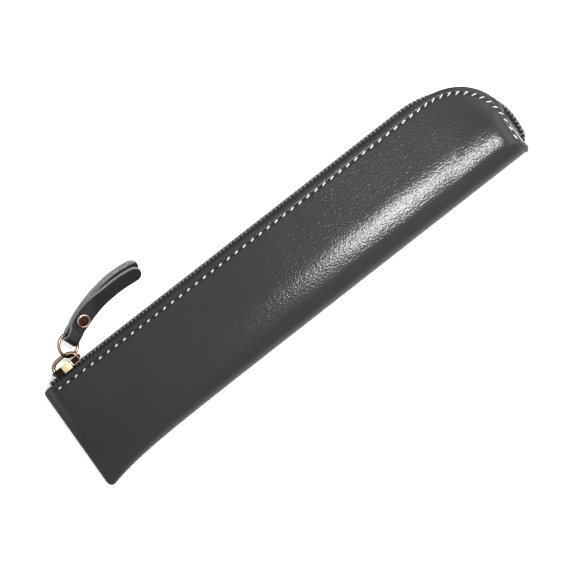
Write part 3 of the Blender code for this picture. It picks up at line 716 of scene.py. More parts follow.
def leather_finish(name, colour, pebble, stitch=None):
    """Smooth pebbled leather.

    stitch adds the dents of a seam that follows the cut edge, with its needle holes painted near-black
    as shade, and paints a pale strip beside the front edge at the rounded end as a painted highlight. That
    strip is colour only, laid by object place.
    """
    made = Nodes(name)
    where, height = grain(made, pebble)
    cloud = made.noise(where, 45.0, 3.0)
    speck = made.noise(where, 1.1 / pebble, 2.0)
    shade_of = made.spread(cloud, 0.3, 0.7, 0.0, 0.55)
    base = made.blend(shade_of, scaled(colour, 0.86), scaled(colour, 1.2))
    base = made.blend(made.spread(speck, 0.35, 0.75, 0.0, 0.35), base, scaled(colour, 1.3))
    rough = made.math("MULTIPLY_ADD", speck, 0.15, 0.66)
    normal = made.bump(height, 0.000062, 0.9)
    if stitch is not None:
        along, inset, _ = made.split(made.uv("Seam"))
        straight = made.math("SUBTRACT", made.math("MINIMUM", along, stitch.turn), stitch.start)
        past = made.math("MAXIMUM", made.math("SUBTRACT", along, stitch.turn), 0.0)
        past = made.math("DIVIDE", past, stitch.short_pitch)
        phase = made.math("FRACT", made.math("ADD", made.math("DIVIDE", straight, stitch.pitch), past))
        hole = made.math("ABSOLUTE", made.math("SUBTRACT", phase, 0.5))
        hole = made.math("MULTIPLY", made.math("SUBTRACT", 0.5, hole), stitch.pitch)
        hole = made.math("MAXIMUM", made.math("SUBTRACT", hole, 0.0004), 0.0)
        off = made.math("SUBTRACT", inset, stitch.inset)
        squares = made.math("ADD", made.math("POWER", hole, 2.0), made.math("POWER", off, 2.0))
        away = made.math("POWER", squares, 0.5)
        pit = made.spread(away, 0.0001, 0.0007, 1.0, 0.0)
        furrow = made.spread(made.math("ABSOLUTE", off), 0.0, 0.0009, 1.0, 0.0)
        # Painted shade: near-black in the needle holes
        base = made.blend(made.spread(away, 0.0001, 0.0005, 0.97, 0.0), base, NEEDLE_HOLE_SHADE)
        sunk = made.math("MULTIPLY_ADD", pit, -1.0, made.math("MULTIPLY", furrow, -0.35))
        place_x, place_y, place_z = made.split(where)
        # Painted highlight: a pale strip by the front edge at the rounded end
        painted_light = made.spread(place_x, *PALE_X)
        painted_light = made.math("MULTIPLY", painted_light, made.spread(place_y, *PALE_Y_HIGH, 1.0, 0.0))
        base = made.blend(highlight_window(made, painted_light, place_y, place_z), base, PAINTED_HIGHLIGHT_LEATHER)
        normal = made.bump(sunk, 0.0004, 1.0, normal)
    made.link(normal, made.shader.inputs["Coat Normal"])
    return made.finish(base, rough, normal, specular_ior_level=0.08, coat_weight=0.2, coat_roughness=0.17)


def cut_edge_finish(name, colour, highlight_from=None):
    """Raw cut edge of leather: short fibres, and pale fibres painted on as a highlight past a mark of the
    seam's UV, in the window of the painted highlight strip.
    """
    made = Nodes(name)
    where = made.object_space()
    fibres = made.noise(where, 5200.0, 4.0, 0.7)
    bands = made.noise(where, 900.0, 2.0)
    base = made.blend(made.spread(fibres, 0.3, 0.7), scaled(colour, 0.55), scaled(colour, 1.35))
    base = made.blend(made.spread(bands, 0.4, 0.7, 0.0, 0.4), base, scaled(colour, 0.5))
    if highlight_from is not None:
        along, _, _ = made.split(made.uv("Seam"))
        _, place_y, place_z = made.split(where)
        # Painted highlight: pale fibres on the cut rim at the rounded end
        painted_light = highlight_window(made, made.spread(along, highlight_from, highlight_from + 0.003), place_y, place_z)
        base = made.blend(painted_light, base, made.blend(fibres, *PAINTED_HIGHLIGHT_FIBRES))
    normal = made.bump(fibres, 0.00009, 0.9)
    return made.finish(base, 0.82, normal, specular_ior_level=0.1)


def suede_finish(name, colour, shade_below=None):
    """Rough back of the leather, with a short mottled nap, and painted shade far between the strap's leaves.
    """
    made = Nodes(name)
    where = made.object_space()
    nap = made.noise(where, 1300.0, 6.0, 0.8)
    cloud = made.noise(where, 420.0, 3.0)
    base = made.blend(made.spread(nap, 0.35, 0.65), scaled(colour, 0.2), scaled(colour, 2.2))
    base = made.blend(made.spread(cloud, 0.35, 0.7, 0.0, 0.45), base, scaled(colour, 0.62))
    if shade_below is not None:
        _, across, _ = made.split(made.uv("Strap"))
        # Painted shade: the suede turns near-black far between the leaves
        gap_shade = made.spread(across, shade_below - 0.0006, shade_below, 0.95, 0.0)
        base = made.blend(gap_shade, base, SHADE_BETWEEN_LEAVES)
    normal = made.bump(nap, 0.00012, 0.9)
    return made.finish(base, 0.9, normal, specular_ior_level=0.1, sheen_weight=0.05)


def weave_finish(name, colour, painted_light_from):
    """Twill tape: slanted ribs that follow the tape's own UV, in metres; its leg is painted greyer at the
    end as painted light.
    """
    made = Nodes(name)
    along, across, _ = made.split(made.uv("Tape"))
    ribs = made.wave(made.math("ADD", along, across), 0.00055)
    wefts = made.wave(across, 0.0004)
    height = made.math("MULTIPLY_ADD", wefts, 0.45, ribs)
    fuzz = made.noise(made.object_space(), 4200.0, 3.0)
    height = made.math("MULTIPLY_ADD", fuzz, 1.2, height)
    light = made.spread(height, -1.0, 2.2)
    base = made.blend(light, scaled(colour, 0.45), scaled(colour, 2.1))
    # Painted light: grey on the tape's leg at the rounded end; the slit and bend keep the dark tape colour
    leg_end = made.spread(along, painted_light_from, painted_light_from + 0.006)
    painted_light = made.math("MULTIPLY", leg_end, made.spread(across, 0.0034, 0.0039))
    base = made.blend(painted_light, base, made.blend(light, *PAINTED_LIGHT_TAPE))
    normal = made.bump(height, 0.00006, 0.9)
    return made.finish(base, 0.85, normal, specular_ior_level=0.15)


def nylon_finish(name, colour):
    """Dark nylon monofilament with faint drawing lines and lighter dusty patches at random."""
    made = Nodes(name)
    where = made.object_space()
    lines = made.noise(where, 2600.0, 2.0)
    dust = made.noise(where, 380.0, 3.0)
    base = made.blend(made.spread(dust, 0.45, 0.8, 0.0, 0.5), scaled(colour, 0.8), scaled(colour, 2.6))
    rough = made.math("MULTIPLY_ADD", lines, 0.2, 0.24)
    normal = made.bump(lines, 0.00002, 0.5)
    return made.finish(base, rough, normal, specular_ior_level=0.55)


def thread_finish(name, colour):
    """Twisted sewing thread: plies that wind round the stitch's own UV."""
    made = Nodes(name)
    along, turn, _ = made.split(made.uv("Thread"))
    wound = made.math("MULTIPLY", along, 2.0 * math.pi / 0.0006)
    ply = made.math("SINE", made.math("ADD", wound, made.math("MULTIPLY", turn, 4.0 * math.pi)))
    lint = made.noise(made.object_space(), 6000.0, 3.0)
    height = made.math("MULTIPLY_ADD", lint, 0.8, ply)
    base = made.blend(made.spread(height, -1.0, 1.4), scaled(colour, 0.5), scaled(colour, 1.2))
    normal = made.bump(height, 0.00005, 0.8)
    return made.finish(base, 0.6, normal, specular_ior_level=0.3)


def write_facing_up_uv(mesh):
    """UV that tells how far each corner faces up at rest: sides get a painted dark reflection."""
    layer = mesh.uv_layers.new(name="Polish")
    for loop in mesh.loops:
        layer.data[loop.index].uv = (mesh.vertices[loop.vertex_index].normal.z, 0.5)


def metal_finish(name, colour, rough_low, rough_high, side_shade=None):
    """Plated metal: fine polishing lines, small knocks, and a tone that drifts a little."""
    made = Nodes(name)
    lines = made.noise(made.object_space((1.0, 9.0, 1.0)), 900.0, 4.0)
    where = made.object_space()
    knocks = made.cells(where, 1400.0)
    drift = made.noise(where, 330.0, 3.0)
    base = made.blend(made.spread(drift, 0.3, 0.75), scaled(colour, 0.82), scaled(colour, 1.14))
    if side_shade is not None:
        # Painted dark reflection: the dark colour covers faces that turn away from up
        facing, _, _ = made.split(made.uv("Polish"))
        base = made.blend(made.spread(facing, 0.78, 0.985, 1.0, 0.0), base, side_shade)
    rough = made.spread(lines, 0.25, 0.75, rough_low, rough_high)
    normal = made.bump(made.spread(knocks, 0.02, 0.2), 0.000012, 0.5)
    normal = made.bump(lines, 0.000008, 0.6, normal)
    return made.finish(base, rough, normal, metallic=1.0)


def floor_finish(name, colour):
    made = Nodes(name)
    where = made.object_space()
    tone = made.noise(where, 3.0, 2.0)
    base = made.blend(tone, scaled(colour, 0.995), scaled(colour, 1.0))
    normal = made.bump(made.noise(where, 700.0, 2.0), 0.00002, 0.2)
    return made.finish(base, 0.75, normal, specular_ior_level=0.2)


class SeamPlace:
    """Where the seam runs, for the leather's dents and for the thread."""

    def __init__(self, settings):
        self.start = EDGE.nearest(STITCH_START_X, edge_y(STITCH_START_X))[0]
        self.turn = EDGE.nearest(SHORT_STITCH_X, edge_y(SHORT_STITCH_X))[0]
        self.pitch = settings.pitch
        self.short_pitch = SHORT_STITCH * settings.pitch
        self.inset = settings.inset
        self.count = int(self.number(EDGE.length))

    def number(self, mark):
        """How many stitches lie before a mark; they are shorter round the curve."""
        past = max(mark - self.turn, 0.0)
        return (min(mark, self.turn) - self.start) / self.pitch + past / self.short_pitch

    def mark(self, number):
        straight = (self.turn - self.start) / self.pitch
        past = max(number - straight, 0.0)
        return self.start + min(number, straight) * self.pitch + past * self.short_pitch


# Hide


def hide_marks():
    """Places along the edge where the hide has a section, close together at both ends."""
    near = [0.0, 0.0002, 0.0005, 0.0009, 0.0014, 0.0019, 0.0024, 0.003, 0.0038, 0.0048, 0.006]
    steps = 190
    rest = EDGE.length - near[-1]
    return near + [near[-1] + rest * k / steps for k in range(1, steps + 1)]


def front_retreat(mark, amount):
    """How far the front panel's edge lies inside the CAD edge; it runs straight to the corner."""
    over = max(EDGE.at(mark).x - FRONT_EDGE_X, 0.0)
    to_corner = EDGE.length - mark
    start = ease((RETREAT_LENGTH - to_corner) / RETREAT_EASE)
    return min(over, amount) * start * ease(to_corner / RETREAT_TIP)


def rounded_corner(x, y, corner, inward, upward, radius, flare):
    """Rounds one corner of the hide in the plan; flare lets its tip stick out a little."""
    p = min(1.0 - inward * (x - corner[0]) / radius, 1.0)
    q = min(1.0 - upward * (y - corner[1]) / radius, 1.0)
    if p <= 0.0 or q <= 0.0:
        return x, y
    out_x = p * math.sqrt(1.0 - 0.5 * q * q) * (radius + flare * ease(2.0 * q))
    out_y = q * math.sqrt(1.0 - 0.5 * p * p) * (radius + flare * ease(2.0 * p))
    return corner[0] + inward * (radius - out_x), corner[1] + upward * (radius - out_y)


def rounded_end(x, y):
    """Place in the plan after the rounding of the hide's three corners."""
    end_share = (y - FOLD_Y + EAR_DROP) / (EDGE_Y - FOLD_Y + EAR_DROP)
    end_x = SEWN_END_X + SEWN_END_SLANT * min(max(end_share, 0.0), 1.0)
    x, y = rounded_corner(x, y, (end_x, fold_y(max(x, SEWN_END_X))), 1.0, 1.0, EAR_ROUNDING, 0.0)
    x, y = rounded_corner(x, y, (end_x, edge_y(x)), 1.0, -1.0, TOP_ROUNDING, 0.0)
    return rounded_corner(x, y, (CORNER_X, fold_y(CORNER_X)), -1.0, 1.0, TIP_ROUNDING, TIP_FLARE)


def settle_spikes(bm):
    """Moves corners that stand far from their neighbours back among them.

    The bevel throws out four at the tight fold corner of the rounded end. They are taken in
    order and not worst first, so ten sound ones beside them move too, by up to 2 mm.
    """
    for _ in range(4):
        for vert in bm.verts:
            around = [edge.other_vert(vert).co for edge in vert.link_edges]
            middle = sum(around, Vector()) / len(around)
            if (vert.co - middle).length > SPIKE:
                vert.co = middle


def hide_skin(bm, marks, halves, inset, settings):
    """One surface of the hide, from the back edge round the fold to the front edge."""
    ribs = [Rib(mark) for mark in marks]
    rows = 2 * halves
    groove = SEAM_GROOVE if inset == 0.0 else 0.0

    def place(column, row):
        rib = ribs[max(column - 1, 0)]
        around = row / halves - 1.0
        point = rib.point(around, inset)
        if column == 0:
            return 0.5 * (point + rib.point(-around, inset)) + Vector((groove, 0.0, 0.0))
        return point + Vector((0.0, 0.0, waver(point, settings.waver)))

    table = mapped_grid(bm, len(marks), rows, place)
    verts = list(table.values())
    made, gaps = EDGE.nearest_many(np.array([vert.co.xy[:] for vert in verts]))
    for (column, row), vert, mark, gap in zip(table, verts, made, gaps):
        vert.co.z += lift_at(mark, gap)
        drawn = front_retreat(mark, settings.edge_retreat) * ease(1.0 - gap / RETREAT_WIDTH)
        shift = EDGE.outward(mark) * (drawn * ease(2.0 * (row / halves - 1.0)))
        vert.co.x, vert.co.y = rounded_end(vert.co.x - shift.x, vert.co.y - shift.y)
    return table


class POUCH_OT_hide(Operator):
    """Models the folded leather hide with its cut edges"""

    bl_idname = "pouch.hide"
    bl_label = "Leather hide"

    def execute(self, context):
        settings = context.scene.pouch_hide
        seam = SeamPlace(context.scene.pouch_stitches)
        halves = 62
        marks = hide_marks()
        inner_marks = [
            SQUEEZE + mark * (SWELL_LENGTH - SQUEEZE) / SWELL_LENGTH if mark < SWELL_LENGTH else mark
            for mark in marks
        ]
        bm = bmesh.new()
        outer = hide_skin(bm, marks, halves, 0.0, settings)
        inner = hide_skin(bm, inner_marks, halves, LEATHER, settings)
        inner_verts = set(inner.values())
        doubles = [table[(0, row)] for table in (outer, inner) for row in range(2 * halves + 1)]
        bmesh.ops.remove_doubles(bm, verts=doubles, dist=0.002 * MM)
        for face in bm.faces:
            face.material_index = 2 if face.verts[0] in inner_verts else 0
        rims = [edge for edge in bm.edges if edge.is_boundary]
        made = bmesh.ops.bridge_loops(bm, edges=rims)
        for face in made["faces"]:
            face.material_index = 1
        face_outwards(bm)
        rim_edges = [edge for edge in rims if edge.is_valid]
        round_edges(bm, rim_edges, RIM_ROUNDING, 1)
        settle_spikes(bm)
        write_seam_uv(bm, "Seam")
        mats = [
            leather_finish("slate_leather", settings.colour, settings.pebble, seam),
            # Painted highlight on the cut rim near the corner of the rounded end
            cut_edge_finish("leather_cut_edge", settings.edge_colour, EDGE.length - HIGHLIGHT_RIM_LENGTH),
            suede_finish("leather_inside", scaled(settings.colour, 1.3)),
        ]
        obj = new_piece("leather_hide", bm, mats)
        shade(obj.data, 50)
        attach(obj, "pouch")
        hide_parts("leather_body")
        return {"FINISHED"}


# Zip


def below_front(hide, point, under):
    """The point lowered off the inside of the front panel, where that lies lower than planned."""
    start = Vector((point.x, point.y, 50.0 * MM))
    hit, _, _, _ = hide.ray_cast(start, Vector((0.0, 0.0, -1.0)))
    if hit is not None:
        point.z = min(point.z, hit.z - under)
    return point


def tape_rows(side, hide, retreat):
    """Sections of one tape: slit edge, bend at the coil, and the leg under the leather."""
    rows = []
    down = 0.5 * COIL_HEIGHT - TAPE_THICKNESS
    steps = 150
    first = EDGE.nearest(TAPE_START_X, edge_y(TAPE_START_X))[0]
    last = EDGE.length - (COIL_END_Y - TAPE_PAST_COIL - EDGE.points[-1].y)
    for k in range(steps + 1):
        mark = first + (last - first) * k / steps
        rib = Rib(mark)
        coil_mark, _ = COIL.nearest(rib.edge.x, rib.edge.y)
        seat = COIL.at(coil_mark) - COIL.outward(coil_mark) * down
        sunk = (rib.edge - seat).dot(EDGE.outward(mark))
        slack = TAPE_SLACK * (1.0 - ease(min(mark, EDGE.length - mark) / TAPE_SLACK_LENGTH))
        under = Vector((0.0, 0.0, side * (LEATHER + TAPE_CLEARANCE + slack + 0.5 * TAPE_ROOM)))
        drawn = front_retreat(mark, retreat) if side == FRONT else 0.0
        top = max(TAPE_TOP, sunk + TAPE_ROOM, drawn + TAPE_UNDER_EDGE)
        bottom = max(TAPE_BOTTOM, sunk + TAPE_LEG)
        legs = [inside_edge(mark, top + (bottom - top) * share, side) - under for share in (0.0, 0.5, 1.0)]
        if side == FRONT:
            legs = [below_front(hide, leg, under.z) for leg in legs]
        rim_z = rib.middle_z() + side * rib.edge_half - under.z
        turn = min(rim_z, legs[0].z) if side == FRONT else max(rim_z, legs[0].z)
        slit = Vector((seat.x, seat.y, rib.middle_z() + side * TAPE_SLIT))
        bend = Vector((seat.x, seat.y, turn - side * TAPE_ROOM))
        middle = slit.lerp(bend, 0.5)
        sag = bend.lerp(legs[0], 0.55) + Vector((0, 0, side * TAPE_SAG))
        rows.append([slit, middle, bend, sag] + legs)
    return rows


class POUCH_OT_tapes(Operator):
    """Models the two woven tapes between the coil and the leather"""

    bl_idname = "pouch.tapes"
    bl_label = "Zip tapes"

    def execute(self, context):
        settings = context.scene.pouch_zip
        # Painted light on the tape's leg at the rounded end
        mat = weave_finish("woven_tape", settings.tape_colour, EDGE.length - GREY_TAPE_LENGTH)
        hide = leather_tree()
        retreat = context.scene.pouch_hide.edge_retreat
        for name, side in SIDES:
            rows = tape_rows(side, hide, retreat)
            bm = bmesh.new()
            table = mapped_grid(bm, len(rows) - 1, len(rows[0]) - 1, lambda column, row: rows[column][row])
            across = {}
            for (column, row), vert in table.items():
                line = rows[column]
                across[vert] = sum((line[k + 1] - line[k]).length for k in range(row))
            write_seam_uv(bm, "Tape", across)
            obj = new_piece("woven_tape_" + name, bm, [mat])
            thicken(obj, TAPE_THICKNESS)
            shade(obj.data, 60)
            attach(obj, "pouch")
            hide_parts("zip_tape_" + name)
        return {"FINISHED"}


class POUCH_OT_coils(Operator):
    """Winds the two nylon coils of the zip"""

    bl_idname = "pouch.coils"
    bl_label = "Zip coils"

    def execute(self, context):
        settings = context.scene.pouch_zip
        mat = nylon_finish("nylon_coil", settings.coil_colour)
        wire = 0.5 * settings.filament
        tall = 0.5 * COIL_HEIGHT - wire
        wide = 0.5 * (COIL_WIDTH + COIL_WIDENING) - wire
        turns = int(COIL.length / COIL_PITCH)
        per_turn = 14
        cord_mat = thread_finish("coil_cord", scaled(settings.tape_colour, 0.8))
        for name, side in SIDES:
            points = []
            middles = []
            for k in range(turns * per_turn + 1):
                distance = COIL.length * k / (turns * per_turn)
                place = COIL.at(distance)
                out = COIL.outward(distance)
                angle = 2.0 * math.pi * k / per_turn + (math.pi if side == BACK else 0.0)
                mark, _ = EDGE.nearest(place.x, place.y)
                size = 0.4 + 0.6 * ease((COIL.length - distance) / COIL_TUCK_LENGTH)
                middle = Rib(mark).middle_z() + side * size * (COIL_GAP + wire + wide)
                flat = place + out * tall * size**0.5 * math.sin(angle)
                points.append((flat.x, flat.y, middle + wide * size * math.cos(angle)))
                if k % per_turn == 0:
                    middles.append((place.x, place.y, middle))
            mesh = tube_mesh("nylon_coil_" + name, points, wire, sides=1)
            obj = new_object("nylon_coil_" + name, mesh, [mat])
            cord_mesh = tube_mesh("coil_cord_" + name, middles, COIL_CORD)
            cord = new_object("coil_cord_" + name, cord_mesh, [cord_mat])
            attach(cord, "pouch")
            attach(obj, "pouch")
            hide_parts("zip_coil_" + name)
        return {"FINISHED"}


# Stitching


class POUCH_OT_stitches(Operator):
    """Sews the two rows of stitches along the cut edges"""

    bl_idname = "pouch.stitches"
    bl_label = "Stitching"

    def execute(self, context):
        settings = context.scene.pouch_stitches
        seam = SeamPlace(settings)
        self.leather = leather_tree()
        mat = thread_finish("sewing_thread", settings.colour)
        for name, side in SIDES:
            bm = bmesh.new()
            layer = bm.loops.layers.uv.new("Thread")
            for k in range(seam.count):
                self.add_stitch(bm, layer, seam, settings, side, k)
            obj = new_piece("thread_" + name, bm, [mat])
            shade(obj.data, 70)
            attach(obj, "pouch")
            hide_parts("stitching_" + name)
        return {"FINISHED"}

    def add_stitch(self, bm, layer, seam, settings, side, k):
        """A sphere drawn out into one stitch, which dives into a hole at each end."""
        radius = 0.5 * settings.thread
        made = bmesh.ops.create_uvsphere(bm, u_segments=8, v_segments=10, radius=1.0)
        reach = 0.34 + 0.2 * ease(k / seam.count)
        to_corner = EDGE.length - seam.mark(k + 0.5)
        turned = ease((LEAN_LENGTH - to_corner) / LEAN_EASE) * ease((to_corner - LEAN_TIP) / LEAN_EASE)
        values = {}
        for vert in made["verts"]:
            share = 0.5 + 0.5 * reach * vert.co.z
            mark = seam.mark(k + share)
            lean = settings.slant * (1.0 + 1.6 * turned) * (2.0 * share - 1.0) / STITCH_SHARE
            outward = EDGE.outward(mark)
            flat = EDGE.at(mark) - outward * (seam.inset - lean)
            above = Vector((flat.x, flat.y, side * 0.05))
            centre, _, _, _ = self.leather.ray_cast(above, Vector((0.0, 0.0, -side)))
            if centre is None:
                raise RuntimeError("A stitch lies beside the leather")
            arch = math.sqrt(max(1.0 - vert.co.z**2, 0.0))
            lift = side * radius * (1.5 * arch - 0.75)
            fuller = radius / max(arch, 0.05) * max(arch, 0.05) ** 0.45
            turn = math.atan2(vert.co.y, vert.co.x)
            values[vert] = (seam.pitch * share, turn / (2.0 * math.pi))
            vert.co = centre + Vector(
                (
                    outward.x * vert.co.x * fuller,
                    outward.y * vert.co.x * fuller,
                    lift + 0.85 * vert.co.y * fuller,
                )
            )
        for face in {face for vert in made["verts"] for face in vert.link_faces}:
            for loop in face.loops:
                loop[layer].uv = values[loop.vert]


# Slider, ring and strap


class POUCH_OT_slider(Operator):
    """Finishes the slider and its bridge in plated metal"""

    bl_idname = "pouch.slider"
    bl_label = "Slider"

    def execute(self, context):
        settings = context.scene.pouch_pull
        # Painted shade and painted dark reflection: the slider body is near-black metal
        dark_metal = metal_finish("slider_shadow_plating", settings.shade_bronze, 0.16, 0.36)
        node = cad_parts["slider_body"]
        cover(node, dark_metal)
        node.data.set_sharp_from_angle(angle=math.radians(30))
        self.add_side_parts(settings, dark_metal)
        self.add_bridge(settings)
        # Painted shade: the hidden end seam's thread is darkened
        cover(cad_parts["end_seam_thread"], thread_finish("seam_thread", SHADED_HIDDEN_THREAD))
        return {"FINISHED"}

    def add_side_parts(self, settings, dark_metal):
        """The flange in the middle of each side, painted bright gold as a highlight, and the rimmed pocket
        at its mouth end, whose sunk face is painted near-black as shade.
        """
        # Painted highlight: bright gold on the flange, where the metal catches the light
        gold = metal_finish("flange_gold", settings.gold, 0.16, 0.32)
        rim = metal_finish("pocket_rim", settings.rim, 0.12, 0.26)
        for name, side in SIDES:
            face = ZIP_Z + side * FLANGE_REACH
            high = PLATE_TOP + 0.05 * MM
            parts = (
                ("flange_" + name, -0.2 * MM, 3.7 * MM, PLATE_TOP - 3.1 * MM, 0.0, gold),
                ("pocket_" + name, 3.9 * MM, 3.6 * MM, PLATE_TOP - 2.7 * MM, 0.4 * MM, rim),
            )
            for label, x, length, low, rim_width, mat in parts:
                bm = bmesh.new()
                bmesh.ops.create_cube(bm, size=1.0)
                depth = 0.9 * MM
                centre = Vector((SLIDER_X + x, 0.5 * (low + high), face - side * 0.5 * depth))
                bmesh.ops.scale(bm, vec=(length, high - low, depth), verts=bm.verts)
                if rim_width > 0.0:
                    outer = [face_ for face_ in bm.faces if face_.normal.z * side > 0.9]
                    bmesh.ops.inset_region(bm, faces=outer, thickness=rim_width)
                    # Painted shade: the sunk face of the pocket takes the near-black metal
                    outer[0].material_index = 1
                    bmesh.ops.translate(bm, vec=(0.0, 0.0, -side * 0.3 * MM), verts=outer[0].verts)
                bmesh.ops.translate(bm, vec=centre, verts=bm.verts)
                round_edges(bm, bm.edges[:], 0.14 * MM, -1)
                face_outwards(bm)
                obj = new_piece("slider_" + label, bm, [mat, dark_metal])
                shade(obj.data, 35)
                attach(obj, "slider")

    def add_bridge(self, settings):
        """Round bar that arches over the plate."""
        bar = 0.8 * MM
        base = PLATE_TOP - 0.2 * MM
        rise = BRIDGE_RISE + 0.3 * MM - bar
        half_span = 0.5 * BRIDGE_SPAN - bar + 0.35 * MM
        points = []
        for k in range(33):
            angle = math.pi * k / 32
            x = -half_span * math.cos(angle)
            points.append((SLIDER_X + x, base + rise * math.sin(angle) ** 0.8, ZIP_Z))
        mesh = tube_mesh("slider_arch", points, bar, sides=4)
        write_facing_up_uv(mesh)
        # Painted dark reflection on the sides of the arch
        plating = metal_finish("arch_plating", settings.metal, 0.12, 0.3, settings.shade_bronze)
        obj = new_object("slider_arch", mesh, [plating])
        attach(obj, "slider")
        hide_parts("slider_bridge")


class POUCH_OT_ring(Operator):
    """Turns the closed wire ring"""

    bl_idname = "pouch.ring"
    bl_label = "Ring"

    def execute(self, context):
        settings = context.scene.pouch_pull
        radius = 0.5 * (RING_OUTER - RING_WIRE)
        turn = RING_NORMAL.to_track_quat("Z", "Y").to_matrix().to_4x4()
        bm = bmesh.new()
        made = bmesh.ops.create_circle(bm, segments=20, radius=0.5 * RING_WIRE + WIRE_PLATING)
        upright = Matrix.Translation((radius, 0, 0)) @ Matrix.Rotation(math.pi / 2, 4, "X")
        bmesh.ops.transform(bm, matrix=upright, verts=made["verts"])
        spin_round(bm, bm.verts[:] + bm.edges[:], 72)
        face_outwards(bm)
        bmesh.ops.transform(bm, matrix=Matrix.Translation(RING_CENTRE) @ turn, verts=bm.verts)
        # Painted dark reflection on the sides of the ring's wire
        plating = metal_finish("plated_wire", settings.metal, 0.1, 0.26, settings.shade_bronze)
        obj = new_piece("wire_ring", bm, [plating])
        obj.data.shade_smooth()
        write_facing_up_uv(obj.data)
        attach(obj, "ring")
        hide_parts("pull_ring")
        return {"FINISHED"}


class StrapLine:
    """The folded strap's middle line, as in the CAD model."""

    def __init__(self):
        tilt = STRAP_TILT - math.radians(14)
        level = Vector((math.sin(STRAP_TURN), -math.cos(STRAP_TURN), 0.0))
        width = (-level * math.cos(tilt) + Vector((0.0, 0.0, math.sin(tilt)))).normalized()
        self.width = (width - RING_NORMAL * width.dot(RING_NORMAL)).normalized()
        self.out = self.width.cross(RING_NORMAL).normalized()
        radius = 0.5 * (RING_OUTER - RING_WIRE)
        chord = math.sqrt(radius**2 - (0.5 * STRAP_FOLD_WIDTH) ** 2)
        self.seat = RING_CENTRE + self.out * (chord - 0.3 * MM)
        self.fold_radius = 0.5 * RING_WIRE + FOLD_PLAY + 0.5 * STRAP_LEATHER
        self.past_wire = radius - chord + 0.5 * RING_WIRE + 0.6 * MM

    def settled(self, distance):
        past_rivet = RIVET_DISTANCE + 0.5 * RIVET_HEAD
        return ease((distance - past_rivet) / (STRAP_TWIST_END * STRAP_LENGTH - past_rivet))

    def heading(self, distance):
        start = math.atan2(self.out.y, self.out.x)
        turn = start + (STRAP_END_TURN - start) * distance / STRAP_LENGTH
        to_rivet = RIVET_DISTANCE - 0.5 * RIVET_HEAD - self.past_wire
        level = ease((distance - self.past_wire) / to_rivet)
        slope = self.out.z / self.out.to_2d().length * (1.0 - level)
        return Vector((math.cos(turn), math.sin(turn), slope)).normalized()

    def frame(self, distance):
        place = self.seat.copy()
        for k in range(24):
            place += self.heading((k + 0.5) / 24 * distance) * distance / 24
        leaf = STRAP_LEATHER + 0.5 * (STRAP_LEAF_GAP + STRAP_SPLAY)
        rest = 0.5 * STRAP_WIDTH * math.sin(STRAP_TILT) + leaf * math.cos(STRAP_TILT)
        place.z += (rest - place.z) * self.settled(distance)
        along = self.heading(distance)
        final = Vector((0.0, math.cos(STRAP_TILT), math.sin(STRAP_TILT)))
        width = self.width.lerp(final, self.settled(distance)).normalized()
        width = (width - along * width.dot(along)).normalized()
        return place, width, along.cross(width).normalized()

    def apart(self, distance):
        splay = STRAP_SPLAY * ease((distance - RIVET_DISTANCE) / (0.5 * STRAP_LENGTH))
        leaf = 0.5 * (STRAP_LEATHER + STRAP_LEAF_GAP + splay)
        pinch = ease((distance - self.past_wire) / (0.55 * RIVET_DISTANCE - self.past_wire))
        return self.fold_radius + (leaf - self.fold_radius) * pinch

    def half_width(self, distance):
        widening = ease(distance / RIVET_DISTANCE)
        half = 0.5 * (STRAP_FOLD_WIDTH + (STRAP_WIDTH - STRAP_FOLD_WIDTH) * widening)
        from_tip = STRAP_LENGTH - distance
        if from_tip >= half:
            return half
        return math.sqrt(max(half**2 - (half - from_tip) ** 2, (0.06 * half) ** 2))


